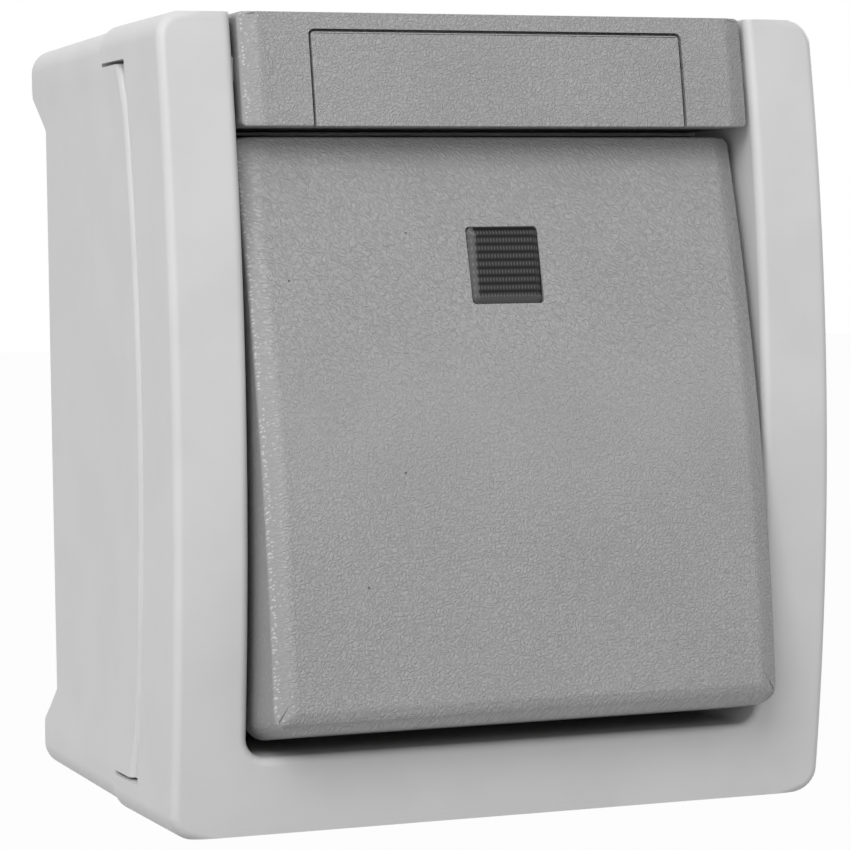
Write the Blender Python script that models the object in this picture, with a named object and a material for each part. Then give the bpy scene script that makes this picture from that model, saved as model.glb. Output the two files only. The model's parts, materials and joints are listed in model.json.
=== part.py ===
"""Surface-mounted illuminated push-button switch for damp rooms.

The part is modelled as it is built: a deep back box on the wall, a U-shaped cover
frame over it, a dark top bar with a label panel, and a tilting push rocker with a
signal lens. The rocker clips on a yoke that turns on a steel pin and lifts a sprung
contact plunger inside the mechanism.

Frame: the origin is the centre of the back face, on the wall. X runs to the right,
Y runs into the wall and Z runs up, so the front of the switch faces -Y.
"""

import math

import bmesh
import bpy
from mathutils import Matrix, Vector

MM = 0.001

# Overall form of the cover frame
FRAME_WIDTH = 68.0 * MM
FRAME_HEIGHT = 77.6 * MM
FRAME_DEPTH = 50.0 * MM            # wall to the corners of the front
FRONT_BULGE = 3.4 * MM             # how far the front arches forward at mid height
FRAME_CORNER = 2.5 * MM
FRAME_EDGE = 0.9 * MM              # rounding along the front edges
FRAME_SKIN = 2.2 * MM
FRAME_WALL = 2.0 * MM
OPENING_WALL = 1.6 * MM            # skirt round the rocker's opening
RAIL_CORNER = 0.8 * MM             # inner corner at the top of a side rail
SIDE_DEPTH = 12.0 * MM             # corner plane to the seam, at the corners
SEAM_BOW = 5.1 * MM                # the seam arches forward like the front
SKIRT_DEPTH = 19.4 * MM            # corner plane to the rear of the top and bottom skirts
SKIRT_HEIGHT = 3.8 * MM            # side view height of those deep skirts

# Opening for the rocker and the top bar
RAIL_WIDTH = 7.3 * MM              # side rails beside the opening
BOTTOM_RAIL = 7.5 * MM             # below the opening
BAR_HEIGHT = 10.8 * MM             # top bar at the head of the opening
OPENING_CORNER = 2.0 * MM
WEB_DEPTH = 11.8 * MM              # corner plane to the front of the web behind the bar
WEB_THICK = 1.8 * MM
TAB_PROUD = 0.5 * MM               # small stop tabs between the rails and the bar
TAB_DEPTH = 1.6 * MM
TAB_HEIGHT = 2.4 * MM
TAB_RISE = 6.6 * MM                # bar's bottom edge to the top of a tab

# Back box
BOX_SET_IN = 0.1 * MM              # each side, against the frame
BOX_DRAFT = 0.45 * MM              # each side, front to wall
BOX_WALL = 2.0 * MM
BOX_FLOOR = 2.0 * MM
BOX_REAR_EDGE = 1.4 * MM
BOX_INNER_CORNER = 0.6 * MM
STRIP_WIDTH = 3.7 * MM             # recessed strip between the box wall and the seam
STRIP_STEP = 0.55 * MM
LIP_THICK = 1.8 * MM
LIP_LENGTH = 3.0 * MM
LIP_CORNER = 1.2 * MM
LIP_INNER_CORNER = 0.4 * MM
LIP_HEAD = 5.3 * MM                # the lip is low over this height, behind the web
LIP_SLOPE = 4.5 * MM
ROOT_LEAD = 1.0 * MM               # the lip's inner foot goes back this far before a head
NOTCH_DEPTH = 5.4 * MM             # side walls stand off the wall by this
NOTCH_WIDTH = 4.0 * MM
NOTCH_HEAD = 4.7 * MM              # full-depth ends of the side walls
NOTCH_SLOPE = 4.7 * MM
WAIST_STEP = 0.3 * MM
WAIST_HEAD = 4.8 * MM
WAIST_SLOPE = 4.2 * MM
GASKET_THICK = 1.5 * MM

# Rocker and the hinge it tilts on
PIVOT_DEPTH = 6.0 * MM             # corner plane to the pin
ROCKER_TILT = math.radians(9.9)    # rest position, bottom out
ROCKER_TRAVEL = math.radians(6.0)
ROCKER_SIDE_GAP = 0.8 * MM
ROCKER_END_GAPS = 2.3 * MM         # opening height less the rocker's
ROCKER_CHORD = 8.9 * MM            # face corners in front of the pivot
ROCKER_CENTRE = -0.75 * MM         # middle of the rocker against the pivot
ROCKER_SKIN = 2.0 * MM
ROCKER_WALL = 1.6 * MM
ROCKER_SKIRT = 10.0 * MM
ROCKER_CORNER = 2.2 * MM
ROCKER_TOP_CORNER = 0.7 * MM
CHAMFER_WIDTH = 1.9 * MM
CHAMFER_DROP = 0.55 * MM
EDGE_BREAK = 0.3 * MM              # set-in of the small rounding outside a chamfer
EDGE_STEPS = ((1.0, 0.0), (0.33, 0.15 * MM), (0.0, 0.4 * MM))  # shares of it, with their set-backs
LUG_SPACING = 25.0 * MM
LUG_THICK = 2.0 * MM
LUG_REACH = 1.6 * MM               # lug past the pivot, so that it clips on
LUG_CHEEK = 2.2 * MM               # material of a lug round the yoke

# Signal lens
LENS_WIDTH = 7.3 * MM
LENS_HEIGHT = 7.5 * MM
LENS_DROP = 12.85 * MM             # rocker's top edge to the lens's middle
LENS_PROUD = 0.45 * MM
LENS_RIM = 0.7 * MM
LENS_CORNER = 0.5 * MM
LENS_FIT = 0.12 * MM
LENS_LEDGE = 0.8 * MM
LENS_COLLAR = 1.2 * MM             # wall of the collar behind the lens
COLLAR_DEPTH = 2.4 * MM
GUIDE_SET_IN = 0.2 * MM
GUIDE_LENGTH = 4.5 * MM

# Top bar and its label panel
BAR_GAP = 0.55 * MM                # to each rail
BAR_PROUD = 0.3 * MM
BAR_SKIN = 2.6 * MM
BAR_WALL = 1.6 * MM
BAR_CORNER = 1.7 * MM
BAR_LOW_CORNER = 0.5 * MM
LABEL_MARGIN = 7.05 * MM           # bar's end to the label
LABEL_HEAD = 1.8 * MM              # bar above the label
LABEL_THICK = 1.1 * MM
LABEL_CORNER = 0.9 * MM
LABEL_GROOVE = 0.2 * MM
HOOK_MARGIN = 12.15 * MM           # bar's end to the middle of a hook
HOOK_HALF_WIDTH = 2.4 * MM
HOOK_THICK = 2.0 * MM
HOOK_RISE = 4.8 * MM               # bar's bottom edge to the middle of a hook
HOOK_NOSE = 0.9 * MM
HOOK_TAIL = 1.2 * MM

# Mechanism base
BASE_HALF_WIDTH = 22.0 * MM
BASE_TOP = 21.0 * MM
BASE_BOTTOM = -24.0 * MM
BASE_REAR = -5.0 * MM
BASE_EDGE = 0.8 * MM
CHAMBER_HALF_WIDTH = 10.5 * MM
CHAMBER_BOTTOM = -8.0 * MM
CHAMBER_TOP = 19.0 * MM
CHAMBER_FLOOR = 4.0 * MM           # material behind the chamber
CHEEK_X = 16.0 * MM
CHEEK_THICK = 3.0 * MM
CHEEK_HALF = 4.2 * MM
CHEEK_NOSE = 3.4 * MM              # cheek in front of the pin
CHEEK_FLARE = 2.0 * MM
BASE_ROOT = 2.0 * MM               # cheeks and lugs start this far inside the base
RIB_X = 14.0 * MM                  # ribs of the box under the base
RIB_THICK = 2.0 * MM
RIB_END = 4.0 * MM
FIXING_OFFSET = 3.6 * MM           # base's end to a fixing screw
FIXING_LUG_HALF = 4.0 * MM
FIXING_LUG_THICK = 3.0 * MM
BOSS_RADIUS = 3.8 * MM
BOSS_BORE = 2.4 * MM
SCREW_RADIUS = 1.4 * MM
SCREW_HEAD_RADIUS = 2.8 * MM
SCREW_HEAD = 1.9 * MM
SCREW_SHANK = 5.4 * MM
SCREW_SLOT = 0.8 * MM
SCREW_CHAMFER = 0.2 * MM

# Pin, yoke, plunger and contacts
PIN_RADIUS = 1.2 * MM
PIN_FIT = 0.15 * MM
PIN_CHAMFER = 0.25 * MM
PIN_SHORT = 0.2 * MM               # pin's end inside the cheek's face
YOKE_RADIUS = 3.0 * MM
YOKE_CHAMFER = 0.4 * MM
YOKE_END_GAP = 0.6 * MM
ARM_LENGTH = 20.0 * MM
ARM_TOE = 2.0 * MM
ARM_TOE_HALF = 0.64 * MM           # thinned underside of the toe
ARM_HALF_WIDTH = 3.5 * MM
ARM_THICK = 3.2 * MM
SLOT_MARGIN = 1.0 * MM             # cover's slot round the arm
PLUNGER_HALF_WIDTH = 4.0 * MM
PLUNGER_HALF_DEPTH = 2.7 * MM
PLUNGER_NOSE = 1.5 * MM
PLUNGER_SHOULDER = 1.8 * MM         # round nose's end to where the plunger has its full depth
PLUNGER_LENGTH = 6.85 * MM
GUIDE_WALL = 1.4 * MM              # plunger guide
GUIDE_ENDS = (0.6 * MM, 0.9 * MM)  # plunger past the guide, below and above
PEG_RADIUS = 1.2 * MM
PEG_LENGTH = 3.5 * MM
SPRING_PEG = 3.5 * MM
BRIDGE_HALF_LENGTH = 8.5 * MM
STRIP_HALF_DEPTH = 2.0 * MM
STRIP_THICK = 0.8 * MM
TIP_RADIUS = 1.5 * MM
FIXED_TIP_RADIUS = 1.35 * MM
TIP_HEIGHT = 0.8 * MM
TIP_X = 6.5 * MM
TIP_EDGE = 0.25 * MM
TIP_SLOPE = 0.45 * MM
CONTACT_EDGE = 0.15 * MM
CONTACT_SPARE = 0.12 * MM          # left open between the contacts at full travel
CONTACT_WALL_GAP = 0.7 * MM        # fixed strip to the chamber's side wall
STRIP_LEG = 2.0 * MM
SPRING_RADIUS = 2.1 * MM
SPRING_WIRE = 0.5 * MM
SPRING_TURNS = 6
SPRING_CLOSING = 0.6               # how much the end turns close up
COVER_THICK = 1.7 * MM
COVER_LAP = 1.9 * MM               # cover past the chamber, each side
COVER_LAP_TOP = 1.4 * MM
COVER_LAP_BOTTOM = 2.0 * MM
COVER_EDGE = 0.4 * MM

# Terminals
TERMINAL_X = 16.6 * MM
TERMINAL_Z = (12.4 * MM, -15.0 * MM)
TERMINAL_WIDTH = 6.4 * MM
TERMINAL_DEPTH = 9.0 * MM
TERMINAL_HEIGHT = 8.4 * MM
TERMINAL_SET_BACK = 1.6 * MM       # base's front to the clamp's
TERMINAL_EDGE = 0.3 * MM
WIRE_HOLE = (3.9 * MM, 7.5 * MM)   # clamp's front to the near and far side of its wire hole
WIRE_HOLE_HALF = 1.8 * MM
WIRE_WAY_HALF = 2.0 * MM
TERMINAL_SCREW_RADIUS = 2.3 * MM
TERMINAL_SCREW_HEAD = 1.5 * MM
TERMINAL_SCREW_SLOT = 0.6 * MM
STRIP_END = 0.4 * MM

# Lamp
LAMP_RISE = 0.95 * MM              # lamp above the lens's place along the rocker
LAMP_RADIUS = 2.4 * MM
LAMP_LENGTH = 8.5 * MM
LAMP_FOOT = 0.6 * MM
LAMP_FOOT_SET_IN = 0.48 * MM
HOLDER_HALF_WIDTH = 4.0 * MM
HOLDER_HALF_HEIGHT = 3.6 * MM
HOLDER_LENGTH = 4.0 * MM
HOLDER_FLOOR = 1.2 * MM
HOLDER_EDGE = 0.5 * MM
LEAD_RADIUS = 0.65 * MM
LEAD_RISE = 3.2 * MM               # lead's loop above the base
LEAD_END = 2.0 * MM                # lead's end above the terminal screw

# Cable and wall screw entries
ENTRY_RADIUS = 8.3 * MM
ENTRY_Y = -15.5 * MM
ENTRY_FLANGE = 1.6 * MM
ENTRY_FLANGE_THICK = 1.0 * MM
ENTRY_FLANGE_EDGE = 0.5 * MM
ENTRY_NECK = 1.6 * MM
ENTRY_MEMBRANE = 0.8 * MM
ENTRY_CUP = 1.6 * MM               # depth of the membrane's cup
ENTRY_CUP_RADIUS = 3.84 * MM
WALL_HOLE_RADIUS = 2.6 * MM
WALL_HOLE_INSET = 16.0 * MM        # frame's side to a wall screw
WALL_HOLE_DROP = (8.8 * MM, 7.8 * MM)
COLLAR_RADIUS = 5.0 * MM
COLLAR_HEIGHT = 2.2 * MM
SEAL_HEAD = 1.0 * MM
SEAL_SHORT = 0.6 * MM              # plug's end inside the wall face
SEAL_SET_IN = 0.4 * MM

CLEAR = 0.3 * MM                   # gap between pieces that touch
HAIR = 0.1 * MM                    # keeps a step or two faces out of one plane
LEAST_CORNER = 0.4 * MM            # smallest corner radius that a set-in outline keeps
OVERCUT = 1.0 * MM                 # cutters reach this far past what they cut
SIDE_ROWS = 12                     # rows of facets up each arched side
CORNER_STEPS = 4
ROUND_STEPS = 24
SCREW_STEPS = 16

# Places that follow from the sizes
HALF_WIDTH = FRAME_WIDTH / 2
HALF_HEIGHT = FRAME_HEIGHT / 2
ARCH_RADIUS = (HALF_HEIGHT ** 2 + FRONT_BULGE ** 2) / (2 * FRONT_BULGE)
SKIRT_REAR = SKIRT_DEPTH - FRAME_DEPTH
SEAM_TOP = HALF_HEIGHT - SKIRT_HEIGHT
OPENING_HALF = HALF_WIDTH - RAIL_WIDTH
OPENING_BOTTOM = BOTTOM_RAIL - HALF_HEIGHT
BAR_BOTTOM = HALF_HEIGHT - BAR_HEIGHT
WEB_FRONT = WEB_DEPTH - FRAME_DEPTH
WEB_REAR = WEB_FRONT + WEB_THICK
OPENING_REAR = WEB_FRONT + WEB_THICK / 2
BAR_HALF_WIDTH = OPENING_HALF - BAR_GAP
LABEL_HALF_WIDTH = BAR_HALF_WIDTH - LABEL_MARGIN
LABEL_TOP = HALF_HEIGHT - LABEL_HEAD
HOOK_X = BAR_HALF_WIDTH - HOOK_MARGIN
HOOK_Z = BAR_BOTTOM + HOOK_RISE

BOX_HALF_WIDTH = HALF_WIDTH - BOX_SET_IN
BOX_HALF_HEIGHT = HALF_HEIGHT - BOX_SET_IN
BOX_ROW_TOP = BOX_HALF_HEIGHT - FRAME_CORNER
HEAD_FRONT = SKIRT_REAR + CLEAR    # the box's heads end just behind the frame's skirts
HEAD_LEVEL = SEAM_TOP - CLEAR
LIP_HALF_WIDTH = HALF_WIDTH - FRAME_WALL - CLEAR
LIP_HALF_HEIGHT = HALF_HEIGHT - FRAME_WALL - CLEAR
LIP_TOP_FRONT = WEB_REAR + 2 * CLEAR + GASKET_THICK
NOTCH_INSIDE = BOX_HALF_WIDTH - NOTCH_WIDTH - BOX_WALL
WALL_HOLE_X = HALF_WIDTH - WALL_HOLE_INSET
WALL_HOLES = ((-WALL_HOLE_X, HALF_HEIGHT - WALL_HOLE_DROP[0]), (WALL_HOLE_X, WALL_HOLE_DROP[1] - HALF_HEIGHT))

PIVOT_Y = PIVOT_DEPTH - FRAME_DEPTH
PIVOT_Z = (BAR_BOTTOM + OPENING_BOTTOM) / 2
ROCKER_HALF_WIDTH = OPENING_HALF - ROCKER_SIDE_GAP
ROCKER_HALF_HEIGHT = (BAR_BOTTOM - OPENING_BOTTOM - ROCKER_END_GAPS) / 2
LENS_Z = ROCKER_CENTRE + ROCKER_HALF_HEIGHT - LENS_DROP
LAMP_Z = PIVOT_Z + LENS_Z + LAMP_RISE

PLUNGER_Y = PIVOT_Y + ARM_LENGTH
BASE_FRONT = PLUNGER_Y - PLUNGER_HALF_DEPTH - CLEAR
CHAMBER_REAR = BASE_REAR - CHAMBER_FLOOR
FIXING_Z = (BASE_TOP + FIXING_OFFSET, BASE_BOTTOM - FIXING_OFFSET)
YOKE_HALF_LENGTH = CHEEK_X - YOKE_END_GAP
COVER_FRONT = BASE_FRONT - CLEAR - COVER_THICK
PLUNGER_FOOT = PIVOT_Z + ARM_THICK / 2 + CLEAR
PLUNGER_TOP = PLUNGER_FOOT + PLUNGER_LENGTH
BRIDGE_LOW = PLUNGER_TOP + CLEAR
STROKE = ARM_LENGTH * ROCKER_TRAVEL
FIXED_LOW = BRIDGE_LOW + STRIP_THICK + 2 * TIP_HEIGHT + STROKE + CONTACT_SPARE
TERMINAL_FRONT = BASE_FRONT + TERMINAL_SET_BACK
WIRE_NEAR = TERMINAL_FRONT + WIRE_HOLE[0]
WIRE_FAR = TERMINAL_FRONT + WIRE_HOLE[1]


def arch(z, half):
    """Rise of the common front arc at height z above its ends at +-half."""
    return math.sqrt(ARCH_RADIUS ** 2 - z * z) - math.sqrt(ARCH_RADIUS ** 2 - half * half)


def front_y(z):
    """Front surface of the cover frame at height z."""
    return -FRAME_DEPTH - arch(z, HALF_HEIGHT)


def seam_y(z):
    """Rear edge of the frame's side walls at height z."""
    return SIDE_DEPTH - FRAME_DEPTH - SEAM_BOW * (1 - (z / HALF_HEIGHT) ** 2)


def clear_scene():
    for old in list(bpy.data.objects):
        bpy.data.objects.remove(old, do_unlink=True)


def make_material(name, colour, roughness, metallic=0.0, alpha=1.0):
    """One Principled material per finish."""
    material = bpy.data.materials.new(name)
    material.use_nodes = True
    shader = material.node_tree.nodes["Principled BSDF"]
    shader.inputs["Base Color"].default_value = (*colour, 1.0)
    shader.inputs["Roughness"].default_value = roughness
    shader.inputs["Metallic"].default_value = metallic
    shader.inputs["Alpha"].default_value = alpha
    material.diffuse_color = (*colour, alpha)
    return material


def make_finishes():
    return {
        "light_housing": make_material("light_housing", (0.60, 0.60, 0.60), 0.42),
        "dark_grained": make_material("dark_grained", (0.33, 0.33, 0.33), 0.5),
        "smoked_lens": make_material("smoked_lens", (0.05, 0.05, 0.05), 0.2),
        "clear_guide": make_material("clear_guide", (0.8, 0.82, 0.84), 0.15, alpha=0.5),
        "black_moulding": make_material("black_moulding", (0.05, 0.05, 0.055), 0.5),
        "white_moulding": make_material("white_moulding", (0.78, 0.78, 0.76), 0.45),
        "steel": make_material("steel", (0.62, 0.62, 0.64), 0.3, 1.0),
        "brass": make_material("brass", (0.75, 0.58, 0.28), 0.35, 1.0),
        "copper": make_material("copper", (0.80, 0.48, 0.33), 0.35, 1.0),
        "rubber": make_material("rubber", (0.16, 0.16, 0.17), 0.8),
        "lamp_glass": make_material("lamp_glass", (0.9, 0.62, 0.45), 0.1, alpha=0.6),
        "lead_sleeve": make_material("lead_sleeve", (0.25, 0.32, 0.55), 0.55),
    }


def to_object(name, bm, material=None):
    """Turns a bmesh into an object, smooth where its faces meet at a small angle."""
    bmesh.ops.recalc_face_normals(bm, faces=bm.faces)
    mesh = bpy.data.meshes.new(name)
    bm.to_mesh(mesh)
    bm.free()
    mesh.shade_smooth()
    mesh.set_sharp_from_angle(angle=math.radians(35))
    item = bpy.data.objects.new(name, mesh)
    bpy.context.collection.objects.link(item)
    if material is not None:
        mesh.materials.append(material)
    return item


def hang(item, empty):
    """Parents a piece and its Boolean guides to the empty in whose frame they are modelled."""
    item.parent = empty
    for modifier in item.modifiers:
        modifier.object.parent = empty


def origin_at(item, place):
    """Moves an object's origin to a place and leaves its shape where it is."""
    item.data.transform(Matrix.Translation(-Vector(place)))
    item.location = place


def add_empty(name, place, parent=None):
    empty = bpy.data.objects.new(name, None)
    empty.location = place
    empty.parent = parent
    bpy.context.collection.objects.link(empty)
    return empty


def combine(target, tool, operation):
    """Adds a live Boolean of target with tool, which is kept as a hidden guide."""
    tool.hide_render = True
    tool.display_type = "WIRE"
    modifier = target.modifiers.new(operation.lower(), "BOOLEAN")
    modifier.operation = operation
    modifier.solver = "EXACT"
    modifier.object = tool


def add_box(bm, low, high):
    """Adds a closed box between two corners."""
    corners = [bm.verts.new((x, y, z)) for z in (low[2], high[2])
               for y in (low[1], high[1]) for x in (low[0], high[0])]
    for quad in ((0, 2, 3, 1), (4, 5, 7, 6), (0, 1, 5, 4), (2, 6, 7, 3), (0, 4, 6, 2), (1, 3, 7, 5)):
        bm.faces.new([corners[i] for i in quad])


def add_bevelled_box(bm, low, high, width):
    """Adds a box with all its edges chamfered."""
    part = bmesh.new()
    add_box(part, low, high)
    bmesh.ops.recalc_face_normals(part, faces=part.faces)
    bmesh.ops.bevel(part, geom=part.edges[:], offset=width, offset_type="OFFSET",
                    segments=1, profile=0.5, affect="EDGES")
    merge_into(bm, part)


def merge_into(bm, part):
    """Copies one bmesh into another and frees it."""
    mesh = bpy.data.meshes.new("scratch")
    part.to_mesh(mesh)
    part.free()
    bm.from_mesh(mesh)
    bpy.data.meshes.remove(mesh)


def add_turned(bm, profile, place, direction, steps=ROUND_STEPS):
    """Adds a closed turned solid.

    profile is a list of (radius, distance) along the axis; a radius of 0 is a pole.
    place is the axis point at distance 0, and direction is the axis.
    """
    turn = Vector((0, 0, 1)).rotation_difference(Vector(direction)).to_matrix().to_4x4()
    seat = Matrix.Translation(place) @ turn
    rings = []
    for radius, distance in profile:
        if radius == 0:
            rings.append([bm.verts.new(seat @ Vector((0, 0, distance)))])
            continue
        rings.append([bm.verts.new(seat @ Vector((radius * math.cos(a), radius * math.sin(a), distance)))
                      for a in (2 * math.pi * (i + 0.5) / steps for i in range(steps))])
    closed = profile[0][0] != 0
    pairs = list(zip(rings, rings[1:])) + ([(rings[-1], rings[0])] if closed else [])
    for lower, upper in pairs:
        for i in range(steps):
            j = (i + 1) % steps
            quad = [lower[i % len(lower)], lower[j % len(lower)], upper[j % len(upper)], upper[i % len(upper)]]
            corners = list(dict.fromkeys(quad))
            if len(corners) > 2:
                bm.faces.new(corners)


def add_rod(bm, radius, place, direction, length, steps=ROUND_STEPS):
    """Adds a plain round rod from place along direction."""
    add_turned(bm, [(0, 0), (radius, 0), (radius, length), (0, length)], place, direction, steps)


def add_loops(bm, loops, ring=False):
    """Joins equal loops of points by quads.

    Without ring, the first and last loops are closed by strips that join point i to
    the point opposite it. With ring, the last loop is joined back to the first.
    """
    rows = [[bm.verts.new(point) for point in loop] for loop in loops]
    count = len(rows[0])
    pairs = list(zip(rows, rows[1:])) + ([(rows[-1], rows[0])] if ring else [])
    for near, far in pairs:
        for i in range(count):
            j = (i + 1) % count
            bm.faces.new((near[i], near[j], far[j], far[i]))
    if ring:
        return
    for row in (rows[0], rows[-1]):
        for i in range(count // 2 - 1):
            bm.faces.new((row[i], row[i + 1], row[count - 2 - i], row[count - 1 - i]))


def half_outline(half_width, top, bottom, radius, rows, top_radius=None):
    """Right half of a rounded rectangle as (x, z), from its top to its bottom."""
    top_radius = radius if top_radius is None else top_radius
    points = []
    for i in range(CORNER_STEPS + 1):
        a = math.pi / 2 * (1 - i / CORNER_STEPS)
        points.append((half_width - top_radius + top_radius * math.cos(a),
                       top - top_radius + top_radius * math.sin(a)))
    high, low = top - top_radius, bottom + radius
    points += [(half_width, low + (high - low) * t) for t in rows]
    for i in range(CORNER_STEPS + 1):
        a = -math.pi / 2 * i / CORNER_STEPS
        points.append((half_width - radius + radius * math.cos(a), low + radius * math.sin(a)))
    return points


def full_outline(half):
    """Closes a right half by its mirror image, point i opposite point -1-i."""
    return half + [(-x, z) for x, z in reversed(half)]


def even_rows(count, extra=()):
    """Shares of a side's straight stretch from its top to its bottom, ends left out."""
    rows = [1 - i / count for i in range(1, count)]
    return sorted({round(r, 6) for r in (*rows, *extra)}, reverse=True)


def place_loop(outline, depth):
    """Gives each outline point its y from depth(x, z)."""
    return [Vector((x, depth(x, z), z)) for x, z in outline]


def chamfer_edge():
    """Insets and set-backs of the small rounding between a chamfer and the side."""
    return [(EDGE_BREAK * share, CHAMFER_DROP + back) for share, back in EDGE_STEPS]


def edge_round(radius, steps=3):
    """Insets and set-backs of a rounded front edge, from the face to the side."""
    return [(radius * (1 - math.sin(math.pi / 2 * i / steps)), radius * (1 - math.cos(math.pi / 2 * i / steps)))
            for i in range(steps + 1)]


def rows_at(levels, high, low):
    """Shares of the straight stretch from low to high at which the given levels lie."""
    return [(z - low) / (high - low) for z in levels]


def frame_outline(set_in, opening_out):
    """U outline of the frame: its outer edge set in, and its opening grown."""
    high, low = HALF_HEIGHT - FRAME_CORNER, FRAME_CORNER - HALF_HEIGHT
    levels = (SEAM_TOP + HAIR, SEAM_TOP - HAIR)
    rows = even_rows(SIDE_ROWS, rows_at((*levels, *(-z for z in levels)), high, low))
    outer = half_outline(HALF_WIDTH - set_in, HALF_HEIGHT - set_in, set_in - HALF_HEIGHT,
                         max(FRAME_CORNER - set_in, LEAST_CORNER), rows)
    inner = half_outline(OPENING_HALF + opening_out, HALF_HEIGHT - set_in, OPENING_BOTTOM - opening_out,
                         OPENING_CORNER + opening_out, rows, RAIL_CORNER)
    inner = rail_top(OPENING_HALF + opening_out, HALF_HEIGHT - set_in) + inner[CORNER_STEPS + 1:]
    return full_outline(outer), full_outline(inner)


def rail_top(edge, top):
    """Rounded inner corner at the top of a rail, from the top face down to the edge."""
    radius = RAIL_CORNER
    angles = [math.pi / 2 * (1 + i / CORNER_STEPS) for i in range(CORNER_STEPS + 1)]
    return [(edge + radius + radius * math.cos(a), top - radius + radius * math.sin(a)) for a in angles]


def frame_loop(set_in, opening_out, outer_y, inner_y):
    """One loop of the U: along the outer edge, then back along the opening."""
    outer, inner = frame_outline(set_in, opening_out)
    back = [Vector((x, inner_y(z), z)) for x, z in reversed(inner)]
    return [Vector((x, outer_y(z), z)) for x, z in outer] + back


def frame_rear(z):
    """Rear edge of the outer walls: the arched seam, or the deep skirts' edge."""
    return SKIRT_REAR if abs(z) > SEAM_TOP else seam_y(z)


def build_cover_frame(finish):
    """Light U-shaped frame with deep top and bottom skirts and a web behind the top bar."""
    bm = bmesh.new()
    loops = [frame_loop(inset, inset, lambda z, b=back: front_y(z) + b, lambda z, b=back: front_y(z) + b)
             for inset, back in edge_round(FRAME_EDGE)]
    loops.append(frame_loop(0, 0, frame_rear, lambda z: OPENING_REAR))
    loops.append(frame_loop(FRAME_WALL, OPENING_WALL, frame_rear, lambda z: OPENING_REAR))
    skin_rear = [lambda z: front_y(z) + FRAME_SKIN] * 2
    loops.append(frame_loop(FRAME_WALL, OPENING_WALL, *skin_rear))
    add_loops(bm, loops)
    frame = to_object("cover_frame", bm, finish)
    inside = OPENING_HALF + OPENING_WALL - CLEAR
    adds = {
        "top_skirt": ((-HALF_WIDTH + FRAME_CORNER, WEB_FRONT, HALF_HEIGHT - FRAME_WALL),
                      (HALF_WIDTH - FRAME_CORNER, SKIRT_REAR, HALF_HEIGHT)),
        "bar_web": ((-inside, WEB_FRONT, BAR_BOTTOM - CLEAR), (inside, WEB_REAR, HALF_HEIGHT - FRAME_WALL / 2)),
    }
    top = BAR_BOTTOM + TAB_RISE
    for side in (-1, 1):
        xs = sorted((side * (OPENING_HALF - TAB_PROUD), side * (OPENING_HALF + OPENING_WALL / 2)))
        adds[f"stop_tab_{side}"] = ((xs[0], front_y(top) + TAB_DEPTH, top - TAB_HEIGHT),
                                    (xs[1], front_y(top) + 2 * TAB_DEPTH, top))
    for name, (low, high) in adds.items():
        combine(frame, box_tool(f"guide_{name}", low, high), "UNION")
    for side in (-1, 1):
        low = (side * HOOK_X - HOOK_HALF_WIDTH - CLEAR, WEB_FRONT - OVERCUT,
               HOOK_Z - HOOK_THICK / 2 - HOOK_NOSE - CLEAR)
        high = (side * HOOK_X + HOOK_HALF_WIDTH + CLEAR, WEB_REAR + OVERCUT, HOOK_Z + HOOK_THICK / 2 + CLEAR)
        combine(frame, box_tool(f"guide_hook_slot_{side}", low, high), "DIFFERENCE")
    return frame


def box_tool(name, low, high):
    bm = bmesh.new()
    add_box(bm, low, high)
    return to_object(name, bm)


def rod_tool(name, radius, place, direction, length, steps=ROUND_STEPS):
    bm = bmesh.new()
    add_rod(bm, radius, place, direction, length, steps)
    return to_object(name, bm)


def prism_tool(name, outline, low_x, high_x):
    """Closed prism of a (y, z) outline between two x places."""
    bm = bmesh.new()
    ends = [[bm.verts.new((x, y, z)) for y, z in outline] for x in (low_x, high_x)]
    for i in range(len(outline)):
        j = (i + 1) % len(outline)
        bm.faces.new((ends[0][i], ends[0][j], ends[1][j], ends[1][i]))
    for end in ends:
        bm.faces.new(end)
    return to_object(name, bm)


def waist(z):
    """How far the side wall is set in at height z: its middle is a shallow panel."""
    share = (HALF_HEIGHT - WAIST_HEAD - abs(z)) / WAIST_SLOPE
    return WAIST_STEP * min(1.0, max(0.0, share))


def box_rows():
    """Shares of the box's side at which its rows of facets lie, with one on each change of form."""
    waist_top = HALF_HEIGHT - WAIST_HEAD
    levels = [HEAD_LEVEL + 2 * HAIR, HEAD_LEVEL, waist_top, waist_top - WAIST_SLOPE]
    return even_rows(SIDE_ROWS, rows_at([*levels, *(-z for z in levels)], BOX_ROW_TOP, -BOX_ROW_TOP))


def box_loop(half_width, half_height, radius, depth, narrowed=True):
    """One loop of the box. The depth and the waist are read at the level of the outer wall."""
    rows = box_rows()
    outline = full_outline(half_outline(half_width, half_height, -half_height, radius, rows))
    levels = full_outline(half_outline(BOX_HALF_WIDTH, BOX_HALF_HEIGHT, -BOX_HALF_HEIGHT, FRAME_CORNER, rows))
    loop = []
    for (x, z), (_, level) in zip(outline, levels):
        set_in = waist(level) if narrowed else 0.0
        loop.append(Vector((x - math.copysign(set_in, x), depth(level), z)))
    return loop


def on_side(level):
    return abs(level) <= HEAD_LEVEL + HAIR / 10


def box_wall_front(level):
    """Front edge of the box's outer wall, behind the recessed strip or behind a skirt."""
    return seam_y(level) + STRIP_WIDTH if on_side(level) else HEAD_FRONT


def box_bevel_front(level):
    """Front of the bevel that leads down to the recessed strip."""
    return box_wall_front(level) - (STRIP_STEP if on_side(level) else HAIR / 2)


def box_shoulder(level):
    """Shoulder on which the frame's edge sits."""
    return seam_y(level) + CLEAR if on_side(level) else HEAD_FRONT - HAIR


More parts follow.
